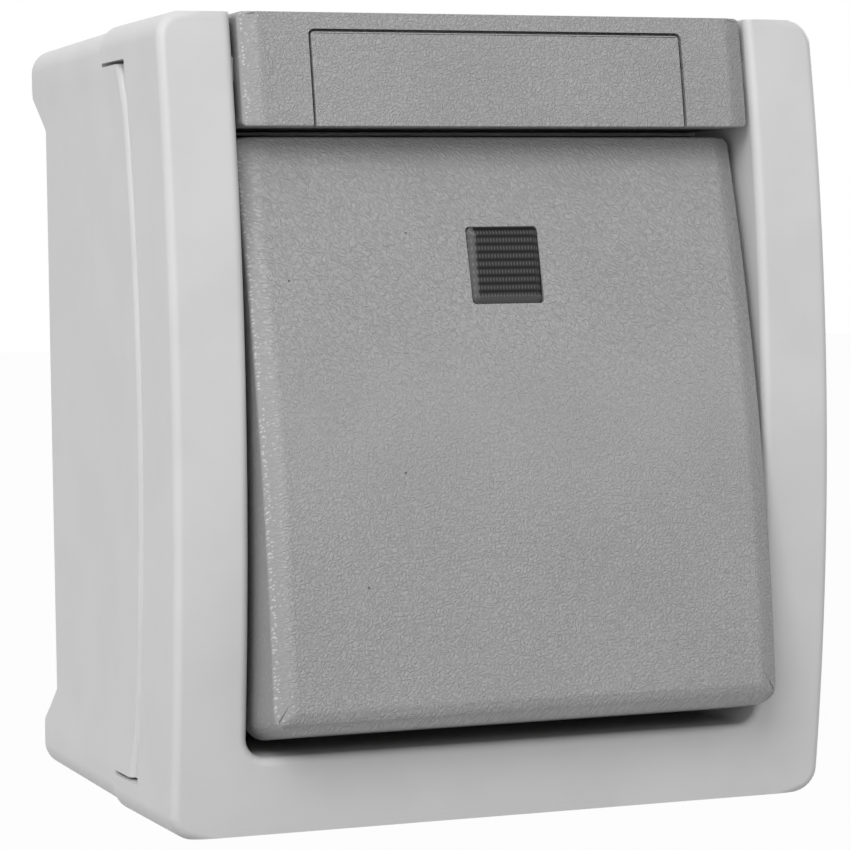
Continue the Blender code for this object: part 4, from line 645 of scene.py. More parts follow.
@dataclass(frozen=True)
class GrainedPlastic:
    """Mid grey moulding with a fine leather-like grain, barer edges painted darker as shade, and painted glints.

    Attributes:
        name: name of the material.
        colour: tone of the plastic.
        roughness: mean roughness.
        shades: painted shade in the wrinkles and painted light between them, against the colour.
        cloud_pitch: size of faint clouds.
        pitch: width of a wrinkle.
        depth: depth of a wrinkle.
        slant_deg: course of the slanted wrinkles.
        stretch: their length against their width.
        slant_from: height where the grain begins to slant.
        slant_to: height where it is fully slanted.
        lean: share of Y in the pattern, so that it doesn't streak along Y.
        smooth_from: distance from the middle where the bare bands begin.
        smooth_to: distance from the middle where they are full.
        smooth_below: height of the bare band along the foot.
        bare_band_painted_shade: painted shade of the bare bands along the edges and the foot, against the colour.
        band_calm: share of the wrinkles' height that the left band loses.
        glint_x: place of a line of painted glints, bright points that stand in for highlights.
        glint_half: half width of the line.
        glint_reach: how far points are strewn beside it.
        glint_cell: spacing of the points.
        glint_strength: how strongly they show.
        glint_shade: their tone, against the colour.
        flecks: places of dust.
        fleck_radius: radius of a fleck.
        fleck_strength: how strongly a fleck shows.
        fleck_shade: its tone, against the colour.
    """

    name: str = "grained_plastic"
    colour: Place = grey(0.345)
    roughness: float = 0.46
    shades: Tuple[float, float] = (0.86, 1.06)
    cloud_pitch: float = 11 * MM
    pitch: float = 0.47 * MM
    depth: float = 0.078 * MM
    slant_deg: float = -47.0
    stretch: float = 1.9
    slant_from: float = 60 * MM
    slant_to: float = 90 * MM
    lean: float = 0.8
    smooth_from: float = 23.6 * MM
    smooth_to: float = 25.3 * MM
    smooth_below: float = -29.3 * MM
    bare_band_painted_shade: float = 0.86
    band_calm: float = 0.7
    glint_x: float = -25.6 * MM
    glint_half: float = 0.30 * MM
    glint_reach: float = 2.2 * MM
    glint_cell: float = 0.36 * MM
    glint_strength: float = 0.65
    glint_shade: float = 1.9
    flecks: Tuple[Place, ...] = ()
    fleck_radius: float = 0.16 * MM
    fleck_strength: float = 0.8
    fleck_shade: float = 0.2

    def wrinkles(self, graph: Graph, course: Wire) -> Wire:
        """Relief of 0 to 1 whose low lines part cells and worm between them."""
        cells = graph.node("ShaderNodeTexVoronoi", {"Vector": course, "Scale": 1 / self.pitch},
                           feature="DISTANCE_TO_EDGE", voronoi_dimensions="2D").step(0.0, 0.30)
        worms = abs(graph.noise(course, self.pitch * 0.85, 1.5, flat=True) - 0.5).step(0.0, 0.11)
        return cells * 0.45 + worms * 0.55

    def relief(self, graph: Graph, flat: Wire, level: Wire) -> Wire:
        """Grain of 0 to 1 that wanders below and slants above."""
        wander = graph.node("ShaderNodeTexNoise", {"Vector": flat, "Scale": 0.5 / self.pitch, "Detail": 1.0},
                            "Color", noise_dimensions="2D")
        shift = graph.node("ShaderNodeVectorMath", {0: wander, 1: (-0.5, -0.5, -0.5)}, operation="ADD")
        shift = graph.node("ShaderNodeVectorMath", {0: shift, "Scale": self.pitch * 1.1}, operation="SCALE")
        warped = graph.node("ShaderNodeVectorMath", {0: flat, 1: shift}, operation="ADD")
        slanted = graph.mapped(warped, rotation=(0, 0, math.radians(self.slant_deg)),
                               scale=(self.stretch, 1, 1), kind="TEXTURE")
        upper = level.step(self.slant_from, self.slant_to)
        relief = self.wrinkles(graph, warped) * (1 - upper) + self.wrinkles(graph, slanted) * upper
        return relief * 0.9 + graph.noise(flat, self.pitch * 0.2, 1, flat=True) * 0.1

    def glints(self, graph: Graph, flat: Wire, across: Wire) -> Wire:
        """Mask of the painted glints: bright points on the line and strewn beside it."""
        dots = graph.node("ShaderNodeTexVoronoi", {"Vector": flat, "Scale": 1 / self.glint_cell}, "Distance",
                          voronoi_dimensions="2D")
        away = abs(across - self.glint_x)
        lot = graph.node("ShaderNodeSeparateColor", {0: dots.other("Color")}).step(0.80, 0.84)
        line = away.fade(self.glint_half / 2, self.glint_half)
        strewn = away.fade(self.glint_reach * 0.4, self.glint_reach) * lot * 0.6
        return dots.fade(0.10, 0.34) * graph.math("MAXIMUM", line, strewn)

    def material(self) -> bpy.types.Material:
        """Makes the material."""
        graph = Graph.of_material(self.name)
        place = graph.place()
        across, level = graph.axis(place, "X"), graph.axis(place, "Z")
        lean = graph.axis(place, "Y") * self.lean
        flat = graph.node("ShaderNodeCombineXYZ", {"X": across + lean, "Y": level + lean})
        relief = self.relief(graph, flat, level)
        cloud = graph.noise(place, self.cloud_pitch, 2).step(*CLOUD)
        # painted shade in the wrinkles and painted light on the ridges, mixed with faint clouds of tone
        dark, light = (times(self.colour, shade) for shade in self.shades)
        tone = graph.mix(cloud * 0.25 + relief * 0.75, dark, light)
        # painted shade: the bare bands along the edges and the foot are mixed towards a darker tone
        foot = level.fade(self.smooth_below, self.smooth_below + MM)
        plain = graph.math("MAXIMUM", abs(across).step(self.smooth_from, self.smooth_to), foot)
        tone = graph.mix(plain, tone, times(self.colour, self.bare_band_painted_shade))
        # painted highlight: bright glints mixed into the colour along the left edge
        glints = self.glints(graph, flat, across) * self.glint_strength
        tone = graph.mix(glints, tone, times(self.colour, self.glint_shade))
        for spot in self.flecks:
            away = graph.node("ShaderNodeVectorMath", {0: place, 1: spot}, "Value", operation="DISTANCE")
            dust = away.fade(self.fleck_radius / 2, self.fleck_radius) * self.fleck_strength
            tone = graph.mix(dust, tone, times(self.colour, self.fleck_shade))
        band = (-1 * across).step(self.smooth_from, self.smooth_to)
        return graph.finish({
            "Base Color": tone, "Roughness": self.roughness + (0.5 - relief) * 0.16,
            "Normal": graph.bump(relief * (1 - band * self.band_calm), self.depth),
            "Specular IOR Level": 0.45,
        })


@dataclass(frozen=True)
class SmokedLens:
    """Smoked plastic with rows of slim dots behind its face and painted light on its left and lower rim, in the
    frame of the rocker.

    Attributes:
        pivot: origin of the rocker's frame.
        tilt: its turn about X.
        middle_z: middle of the lens in that frame.
        half_width: half its width.
        half_height: half its height.
        rows: number of rows.
        row_pitch: height of a row.
        row_start: shares of a row between which its dark line ends.
        row_end: shares between which the next dark line begins.
        dot_pitch: spacing of the dots.
        dot_middle: share of a row at which its dots have their middle.
        dark: level of the dark lines.
        row: level of a row between its dots.
        dot: level of the dots.
        rim: level of the painted light on the rim at the left and the foot.
        rim_side: distances from the left edge over which the rim ends.
        rim_foot: distances from the lower edge over which it ends.
    """

    pivot: Place
    tilt: float
    middle_z: float
    half_width: float
    half_height: float
    rows: int = 9
    row_pitch: float = 0.765 * MM
    row_start: Tuple[float, float] = (0.12, 0.28)
    row_end: Tuple[float, float] = (0.84, 0.96)
    dot_pitch: float = 0.32 * MM
    dot_middle: float = 0.56
    dark: float = 0.005
    row: float = 0.022
    dot: float = 0.075
    rim: float = 0.115
    rim_side: Tuple[float, float] = (0.50 * MM, 0.62 * MM)
    rim_foot: Tuple[float, float] = (0.66 * MM, 0.80 * MM)

    def material(self) -> bpy.types.Material:
        """Makes the material."""
        graph = Graph.of_material("smoked_lens_plastic")
        local = graph.mapped(graph.place(), self.pivot, (self.tilt, 0, 0), kind="TEXTURE")
        across, level = graph.axis(local, "X"), graph.axis(local, "Z") - self.middle_z
        rise = (level / self.row_pitch + self.rows / 2).fraction()
        line = 1 - rise.step(*self.row_start) * rise.fade(*self.row_end)
        side = (across / self.dot_pitch).fraction() - 0.5
        up = rise - self.dot_middle
        dot = ((side * side) * 9.0 + (up * up) * 11.0).fade(0.35, 1.05)
        tone = (self.row + dot * (self.dot - self.row)) * (1 - line) + self.dark * line
        # painted light: the rim at the left and the foot is lighter in the colour, as where light glows through it
        left = across.fade(*(end - self.half_width for end in self.rim_side))
        low = level.fade(*(end - self.half_height for end in self.rim_foot))
        band = graph.math("MAXIMUM", left, low)
        tone = tone * (1 - band) + (self.rim * 0.72 + dot * self.rim * 0.4) * band
        return graph.finish({
            "Base Color": graph.mix(tone, grey(0.0), grey(1.0)), "Roughness": 0.30 + dot * 0.12,
            "Normal": graph.bump(dot * (1 - line), 0.02 * MM, 0.5), "Specular IOR Level": 0.25,
        })


@dataclass(frozen=True)
class Moulding:
    """Plain moulded plastic or rubber, with a mottled tone and a fine bump."""

    name: str
    colour: Place
    roughness: float
    pitch: float = 0.4 * MM
    depth: float = 0.006 * MM
    mottle: float = 0.06

    def material(self) -> bpy.types.Material:
        """Makes the material."""
        graph = Graph.of_material(self.name)
        place = graph.place()
        cloud = graph.noise(place, 5 * MM, 3)
        return graph.finish({
            "Base Color": graph.mottled(cloud, self.colour, self.mottle),
            "Roughness": self.roughness + (cloud - 0.5) * 0.12,
            "Normal": graph.bump(graph.noise(place, self.pitch, 3), self.depth, 0.8),
        })


@dataclass(frozen=True)
class Metal:
    """Bright or plain metal with rolling marks along X."""

    name: str
    colour: Place
    roughness: float
    tarnish: float = 0.12

    def material(self) -> bpy.types.Material:
        """Makes the material."""
        graph = Graph.of_material(self.name)
        place = graph.place()
        marks = graph.noise(graph.mapped(place, scale=(0.12, 1, 1)), 0.12 * MM, 2)
        cloud = graph.noise(place, 3 * MM, 3).step(0.35, 0.75)
        tone = graph.mix(cloud, self.colour, times(self.colour, 1 - self.tarnish))
        return graph.finish({
            "Base Color": tone, "Metallic": 1.0, "Roughness": self.roughness + marks * 0.14 + cloud * 0.08,
            "Normal": graph.bump(marks, 0.004 * MM, 0.7),
        })


@dataclass(frozen=True)
class Clear:
    """Clear plastic or glass with faint haze."""

    name: str
    colour: Place
    roughness: float
    transmission: float

    def material(self) -> bpy.types.Material:
        """Makes the material."""
        graph = Graph.of_material(self.name)
        place = graph.place()
        haze = graph.noise(place, 1.5 * MM, 3)
        return graph.finish({
            "Base Color": graph.mix(haze.step(*CLOUD), self.colour, times(self.colour, 0.94)),
            "Roughness": self.roughness + haze * 0.06,
            "Transmission Weight": self.transmission, "IOR": 1.49,
            "Normal": graph.bump(haze, 0.003 * MM, 0.5),
        })


class Wardrobe:
    """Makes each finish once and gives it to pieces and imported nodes."""

    def __init__(self, lens: SmokedLens, flecks: Tuple[Place, ...]) -> None:
        """Makes the materials of all slots.

        Args:
            lens: finish of the signal lens.
            flecks: places of dust on the rocker's face.
        """
        finishes = {
            Slot.LIGHT_HOUSING: HousingPlastic(),
            Slot.DARK_GRAINED: GrainedPlastic(),
            Slot.SMOKED_LENS: lens,
            Slot.CLEAR_GUIDE: Clear("clear_guide_plastic", (0.80, 0.82, 0.84), 0.10, 0.85),
            Slot.BLACK_MOULDING: Moulding("black_moulding", (0.045, 0.045, 0.05), 0.45),
            Slot.WHITE_MOULDING: Moulding("white_moulding", (0.75, 0.75, 0.73), 0.42),
            Slot.STEEL: Metal("zinc_plated_steel", (0.60, 0.60, 0.62), 0.26),
            Slot.BRASS: Metal("plain_brass", (0.75, 0.58, 0.28), 0.28),
            Slot.COPPER: Metal("copper_strip", (0.80, 0.48, 0.33), 0.30),
            Slot.RUBBER: Moulding("dark_rubber", (0.10, 0.10, 0.105), 0.75, 0.3 * MM, 0.012 * MM, 0.1),
            Slot.LAMP_GLASS: Clear("glow_lamp_glass", (0.90, 0.66, 0.50), 0.05, 0.8),
            Slot.LEAD_SLEEVE: Moulding("lead_sleeve", (0.20, 0.28, 0.52), 0.5),
        }
        self.by_slot = {slot: finish.material() for slot, finish in finishes.items()}
        self.rocker_grain = GrainedPlastic("grained_plastic_rocker", slant_from=-14 * MM, slant_to=14 * MM,
                                           flecks=flecks).material()

    def dress(self, item: bpy.types.Object, slot: Slot,
              material: Optional[bpy.types.Material] = None) -> bpy.types.Object:
        """Gives a piece the finish of a slot, or a variant of it.

        Args:
            item: the piece.
            slot: its material slot.
            material: the variant, if it has one.

        Returns:
            The piece.
        """
        item.data.materials.clear()
        item.data.materials.append(material or self.by_slot[slot])
        return item

    def dress_nodes(self) -> None:
        """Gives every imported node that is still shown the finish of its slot."""
        for entry in frame["record"]["subparts"]:
            node = frame["nodes"][entry["node"]]
            if not node.hide_render:
                self.dress(node, Slot(entry["material_slot"]))
                LOG.info("%s keeps its packed form as %s", entry["node"], entry["material_slot"])


@dataclass
class Assembly:
    """A sub-assembly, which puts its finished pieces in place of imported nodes.

    Attributes:
        wardrobe: the finishes.
        pieces: what has been installed.
    """

    wardrobe: Wardrobe
    pieces: List[bpy.types.Object] = field(default_factory=list, init=False)

    def install(self, item: bpy.types.Object, body: Body, slot: Slot, node: str,
                material: Optional[bpy.types.Material] = None) -> bpy.types.Object:
        """Dresses a finished piece and lets it ride in place of a node.

        Args:
            item: the finished piece.
            body: body that it moves with.
            slot: its material slot.
            node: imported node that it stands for.
            material: variant of the slot's finish, if any.

        Returns:
            The piece.
        """
        self.wardrobe.dress(item, slot, material)
        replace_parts(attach(item, body.value), node)
        self.pieces.append(item)
        LOG.info("%s replaces %s with %d faces", item.name, node, len(item.data.polygons))
        return item


# The housing

FRONT = Arch(half=38.8 * MM, rise=3.4 * MM, ends_y=-50.0 * MM)
SEAM = Arch(half=38.8 * MM, rise=5.1 * MM, ends_y=-38.0 * MM)
SEAM_TOP = 35.0 * MM                 # the arched seam runs between +- this height
SKIRT_REAR = -30.6 * MM              # above and below it the frame reaches back to here
BAR_BOTTOM = 28.0 * MM
WEB_FRONT = -38.2 * MM
WEB_THICK = 1.8 * MM
WALL = 2.0 * MM                      # walls of frame and box
CLEAR = 0.3 * MM                     # gap between pieces that meet
HOOK_X = 14.0 * MM
HOOK_Z = 32.8 * MM
HOOK_HALF = 2.4 * MM
HOOK_THICK = 2.0 * MM
HOOK_NOSE = 0.9 * MM
ENTRY_Y = -15.5 * MM                 # depth of the cable entries
WALL_HOLES = (("upper", -18 * MM, 30 * MM), ("lower", 18 * MM, -31 * MM))
CHAMFER = 1.9 * MM                   # width of the chamfers of bar and rocker
CHAMFER_FALL = 0.55 * MM             # how far their end chamfers fall back


def block_around(name: str, middle_x: float, half: float, ys: Sequence[float],
                 zs: Sequence[float]) -> Form:
    """Block of a half width about a place along X, between two depths and two heights."""
    return Form.block(name, (middle_x - half, ys[0], zs[0]), (middle_x + half, ys[1], zs[1]))


def chamfer_ends(form: Form, face: Arch, half_width: float) -> None:
    """Lets the face of a form fall back along its two ends."""
    slope = CHAMFER_FALL / (CHAMFER - CLEAR)
    for side in (-1, 1):
        form.common(face.chamfer_tool("chamfer", side * (half_width - CHAMFER), slope))


@dataclass
class CoverFrame(Assembly):
    """Light U-shaped frame with an arched front, deep top and bottom skirts and a web behind the bar."""

    half_width: float = 34.0 * MM
    corner: float = 2.5 * MM
    edge: float = 0.9 * MM
    skin: float = 2.2 * MM
    opening_half: float = 26.7 * MM
    opening_bottom: float = -31.3 * MM
    opening_corner: float = 2.0 * MM
    opening_wall: float = 1.6 * MM
    opening_rear: float = -37.3 * MM
    rail_corner: float = 0.35 * MM
    tab_proud: float = 0.5 * MM
    tab_rise: float = 6.6 * MM
    tab_height: float = 2.4 * MM
    tab_depth: float = 1.6 * MM
    edge_break: float = 0.15 * MM
    seam_off: float = MM / 7         # keeps the seam's cut off the wall of the opening

    def opening(self, name: str, grown: float, rear: float) -> Form:
        """Tool of the opening's outline, open at the top, from the front to a depth."""
        half, low = self.opening_half + grown, self.opening_bottom - grown
        tool = Form.block(name, (-half, FRONT.ends_y - PAST, low), (half, rear, FRONT.half + PAST))
        return tool.round_edges(lambda e: along(1)(e) and middle(e).z < 0, self.opening_corner + grown, 8)

    def cavity(self) -> Form:
        """Tool of the hollow behind the front, less the opening's skirt and the web."""
        half, high = self.half_width - WALL, FRONT.half - WALL
        tool = Form.block("hollow", (-half, FRONT.ends_y - PAST, -high), (half, 0, high))
        tool.round_edges(along(1), self.corner - WALL + CLEAR, 4)
        tool.common(FRONT.tool("hollow_front", -self.skin))
        skirt_half = self.opening_half + self.opening_wall
        web_rear = WEB_FRONT + WEB_THICK
        web = Form.block("web", (-skirt_half, web_rear - PAST, BAR_BOTTOM - CLEAR),
                         (skirt_half, web_rear, FRONT.half + PAST))
        return tool.cut(self.opening("skirt", self.opening_wall, self.opening_rear), web)

    def model(self) -> Form:
        """Models the frame."""
        high = FRONT.half
        form = Form.block("frame_shell", (-self.half_width, FRONT.ends_y - PAST, -high),
                          (self.half_width, SKIRT_REAR, high))
        form.round_edges(along(1), self.corner, 8)
        form.common(FRONT.tool("front_arch"))
        form.cut(self.opening("opening", 0.0, WEB_FRONT))
        form.round_edges(is_rim, self.edge, 5)
        form.round_edges(self.is_rail_end, self.rail_corner, 4)
        form.cut(self.cavity())
        passage = Form.block("passage", (-self.opening_half, WEB_FRONT - MM, self.opening_bottom),
                             (self.opening_half, SKIRT_REAR, BAR_BOTTOM - CLEAR))
        form.cut(passage)
        for side in (-1, 1):
            start = self.opening_half + self.opening_wall + self.seam_off
            xs = sorted((side * start, side * 2 * self.half_width))
            seam = Form.block("seam", (xs[0], FRONT.ends_y - PAST, -SEAM_TOP), (xs[1], 0, SEAM_TOP))
            form.cut(seam.common(SEAM.tool("seam_arch")))
        for side in (-1, 1):
            form.join(self.tab(side))
            zs = (HOOK_Z - HOOK_THICK / 2 - HOOK_NOSE - CLEAR, HOOK_Z + HOOK_THICK / 2 + CLEAR)
            form.cut(block_around("hook_slot", side * HOOK_X, HOOK_HALF + CLEAR,
                                  (WEB_FRONT - MM, WEB_FRONT + WEB_THICK + MM), zs))
        return form

    def is_rail_end(self, edge: bmesh.types.BMEdge) -> bool:
        """Test for the inner edges at the top of the side rails."""
        spot = middle(edge)
        return (along(1)(edge) and abs(spot.z - FRONT.half) < HAIR
                and abs(abs(spot.x) - self.opening_half) < HAIR)

    def tab(self, side: int) -> Form:
        """Small stop between a rail and the bar's end."""
        top = BAR_BOTTOM + self.tab_rise
        xs = sorted((side * (self.opening_half - self.tab_proud), side * (self.opening_half + MM)))
        front = FRONT.y(top) + self.tab_depth
        tab = Form.block("tab", (xs[0], front, top - self.tab_height), (xs[1], front + self.tab_depth, top))
        return tab.round_edges(lambda e: (middle(e).x - side * self.opening_half) * side < 0,
                               self.edge_break, 2)

    def build(self) -> None:
        """Models, dresses and installs the frame."""
        self.install(self.model().done(), Body.HOUSING, Slot.LIGHT_HOUSING, "cover_frame")


@dataclass
class BackBox(Assembly):
    """Deep wall box with draughted walls, an arched recessed strip, a lip and notched rear sides."""

    half_width: float = 33.9 * MM
    half_height: float = 38.7 * MM
    corner: float = 2.5 * MM
    draft: float = 0.45 * MM
    rear_edge: float = 1.4 * MM
    strip_width: float = 3.7 * MM
    strip_step: float = 0.55 * MM
    lip_half: Tuple[float, float] = (31.7 * MM, 36.5 * MM)
    lip_thick: float = 1.8 * MM
    lip_length: float = 3.0 * MM
    lip_top_front: float = -34.3 * MM
    lip_slope: Tuple[float, float] = (29.0 * MM, 33.5 * MM)
    lip_corner: float = 1.2 * MM
    lip_rear: float = -28.0 * MM
    inner_corner: float = 0.6 * MM
    waist_step: float = 0.3 * MM
    waist_top: float = 34.0 * MM
    waist_slope: float = 4.2 * MM
    notch_depth: float = 5.4 * MM
    notch_width: float = 4.0 * MM
    notch_half: float = 29.4 * MM
    notch_rear_half: float = 34.1 * MM
    notch_edge: float = 0.35 * MM
    side_zone: float = 1.2 * MM      # edges of the side faces lie within this of the half width
    entry_radius: float = 8.3 * MM
    hole_radius: float = 2.6 * MM
    collar_radius: float = 5.0 * MM
    collar_height: float = 2.2 * MM
    boss_levels: Tuple[float, float] = (24.6 * MM, -27.6 * MM)
    boss_radius: float = 3.8 * MM
    boss_bore: float = 1.7 * MM
    boss_bore_depth: float = 2.4 * MM
    boss_front: float = -4.7 * MM
    rib_x: float = 14.0 * MM
    rib_levels: Tuple[float, float] = (-20.0 * MM, 17.0 * MM)

    @property
    def head_level(self) -> float:
        """Height above which the box ends behind the frame's skirts."""
        return SEAM_TOP - CLEAR

    def shell(self, name: str, set_in: float, front: float, side_back: float) -> Form:
        """Draughted block with a waist, whose front follows the seam and is low at the heads.

        Args:
            name: name of the piece.
            set_in: how far its outline lies inside the wall.
            front: depth of its heads.
            side_back: distance from the seam back to its arched front.

        Returns:
            The block.
        """
        start = SEAM.ends_y - 8 * MM
        half, high = self.half_width - set_in, self.half_height - set_in
        form = Form.block(name, (-half, start, -high), (half, 0, high))
        form.round_edges(along(1), self.corner - set_in, 8)
        form.resize(lambda co: co.y > -HAIR, (1 - self.draft / half, 1, 1 - self.draft / high))
        low_end = self.waist_top - self.waist_slope
        for level in (-self.waist_top, -low_end, low_end, self.waist_top):
            form.slice((0, 0, level), (0, 0, 1))
        for side in (-1, 1):
            form.move(lambda co: abs(co.z) < low_end + HAIR and co.x * side > 10 * MM,
                      (-side * self.waist_step, 0, 0))
        arch = Form.block("arch", (-PAST * 2, start - PAST, -self.head_level),
                          (PAST * 2, front, self.head_level))
        form.cut(arch.cut(SEAM.tool("arch_body", -side_back)))
        for side in (-1, 1):
            zs = sorted((side * self.head_level, side * 3 * PAST))
            form.cut(Form.block("head", (-PAST * 2, start - PAST, zs[0]), (PAST * 2, front, zs[1])))
        return form

    def lip(self) -> Form:
        """Lip inside the frame, lower at the top behind the web."""
        half, high = self.lip_half
        form = Form.block("lip", (-half, SEAM.ends_y - PAST, -high), (half, self.lip_rear, high))
        form.round_edges(along(1), self.lip_corner, 5)
        form.common(SEAM.tool("lip_front", self.lip_length))
        top = Form.block("lip_top", (-PAST * 2, SEAM.ends_y - 2 * PAST, self.lip_slope[1]),
                         (PAST * 2, self.lip_top_front, 3 * PAST))
        foot = SEAM.y(self.lip_slope[0]) - self.lip_length
        slope_low, slope_high = self.lip_slope
        top.move(lambda co: co.z < slope_high + HAIR, (0, 0, slope_low - slope_high))
        top.move(lambda co: co.z < slope_low + HAIR and co.y > self.lip_top_front - MM,
                 (0, foot - self.lip_top_front, 0))
        wedge = Form.block("lip_head", (-PAST * 2, SEAM.ends_y - 2 * PAST, self.lip_slope[1]),
                           (PAST * 2, self.lip_top_front, 3 * PAST))
        return form.cut(top, wedge)

    def cavity(self) -> Sequence[Form]:
        """Tools of the hollow: inside the lip, between the walls, and between the notches."""
        lip_half, lip_high = (size - self.lip_thick for size in self.lip_half)
        wide, high = self.half_width - WALL, self.half_height - WALL
        floor_front = -self.notch_depth - WALL
        narrow = self.half_width - self.notch_width - WALL
        mouth = Form.block("mouth", (-lip_half, -4 * PAST, -lip_high),
                           (lip_half, self.lip_rear + NEAR, lip_high))
        room = Form.block("room", (-wide, self.lip_rear, -high), (wide, floor_front, high))
        drawn_in = (1 - self.draft / wide, 1, 1 - self.draft / high)
        room.resize(lambda co: co.y > floor_front - HAIR, drawn_in)
        well = Form.block("well", (-narrow, floor_front - MM, self.draft - high),
                          (narrow, -WALL, high - self.draft))
        return [tool.round_edges(along(1) if tool is not room else is_upright_y, self.inner_corner, 4)
                for tool in (mouth, room, well)]

    def notch(self, side: int) -> Form:
        """Tool of the notch in the rear of a side wall."""
        xs = sorted((side * (self.half_width - self.notch_width), side * 2 * PAST))
        tool = Form.block("notch", (xs[0], -self.notch_depth, -self.notch_half),
                          (xs[1], 0, self.notch_half))
        tool.resize(lambda co: co.y > -HAIR, (1, 1, self.notch_rear_half / self.notch_half))
        grow = (self.notch_rear_half - self.notch_half) / self.notch_depth * MM
        return tool.step_face(lambda f: f.normal.y > 0.9, 0.0, (0, MM, 0), True).resize(
            lambda co: co.y > MM / 2, (1, 1, 1 + grow / self.notch_rear_half))

    def model(self) -> Form:
        """Models the box."""
        front = SKIRT_REAR + CLEAR
        form = self.shell("box_shell", 0.0, front, self.strip_width - self.strip_step)
        form.round_edges(self.is_side_rim, self.strip_step, 3)
        form.round_edges(is_rear_rim, self.rear_edge, 6)
        form.join(self.shell("strip", self.strip_step, front, CLEAR))
        form.join(self.lip())
        form.cut(*self.cavity())
        form.cut(self.notch(-1), self.notch(1))
        form.round_edges(self.on_notch, self.notch_edge, 3)
        self.add_floor_details(form)
        return form

    def is_side_rim(self, edge: bmesh.types.BMEdge) -> bool:
        """Test for the edges between the arched front and a side wall."""
        spot = middle(edge)
        return (is_rim(edge) and abs(spot.z) < self.head_level - NEAR
                and abs(spot.x) > self.half_width - 2 * WALL)

    def on_notch(self, edge: bmesh.types.BMEdge) -> bool:
        """Test for the notch's edges on the outer face of a side wall."""
        spot = middle(edge)
        faces = edge.link_faces
        aside = abs(spot.x) < self.half_width - self.side_zone
        if len(faces) != 2 or aside or spot.y < -self.notch_depth - NEAR:
            return False
        sides = [abs(face.normal.x) for face in faces]
        return (max(sides) > 0.9 and min(sides) < 0.1 and min(abs(face.normal.y) for face in faces) < 0.1
                and abs(spot.z) < self.notch_rear_half + NEAR)

    def add_floor_details(self, form: Form) -> None:
        """Adds collars, bosses and ribs to the floor, and cuts holes and cable entries."""
        root = -WALL / 2
        forward = (0, -1, 0)
        for _, x, z in WALL_HOLES:
            form.join(Form.rod("collar", self.collar_radius, (x, root, z), forward,
                               self.collar_height - root, 64))
        for z in self.boss_levels:
            boss = Form.rod("boss", self.boss_radius, (0, root, z), forward, root - self.boss_front, 64)
            bore_start = (0, self.boss_front + self.boss_bore_depth, z)
            form.join(boss.cut(Form.rod("bore", self.boss_bore, bore_start, forward, PAST, 48)))
        for side in (-1, 1):
            form.join(block_around("rib", side * self.rib_x, MM, (self.boss_front, root), self.rib_levels))
        for side in (-1, 1):
            form.cut(Form.rod("entry", self.entry_radius, (0, ENTRY_Y, side * 1.7 * PAST), (0, 0, side),
                              PAST, 128))
        for _, x, z in WALL_HOLES:
            form.cut(Form.rod("wall_hole", self.hole_radius, (x, MM, z), forward, PAST, 64))

    def build(self) -> None:
        """Models, dresses and installs the box."""
        self.install(self.model().done(), Body.HOUSING, Slot.LIGHT_HOUSING, "back_box")


def is_upright_y(edge: bmesh.types.BMEdge) -> bool:
    """Test for edges that run roughly along Y."""
    return abs((edge.verts[1].co - edge.verts[0].co).normalized().y) > 0.9


def is_rear_rim(edge: bmesh.types.BMEdge) -> bool:
    """Test for the edges between the wall face and a side."""
    rears = [face.normal.y for face in edge.link_faces]
    return len(rears) == 2 and max(rears) > 0.99 and min(rears) < 0.5


# The grained pieces

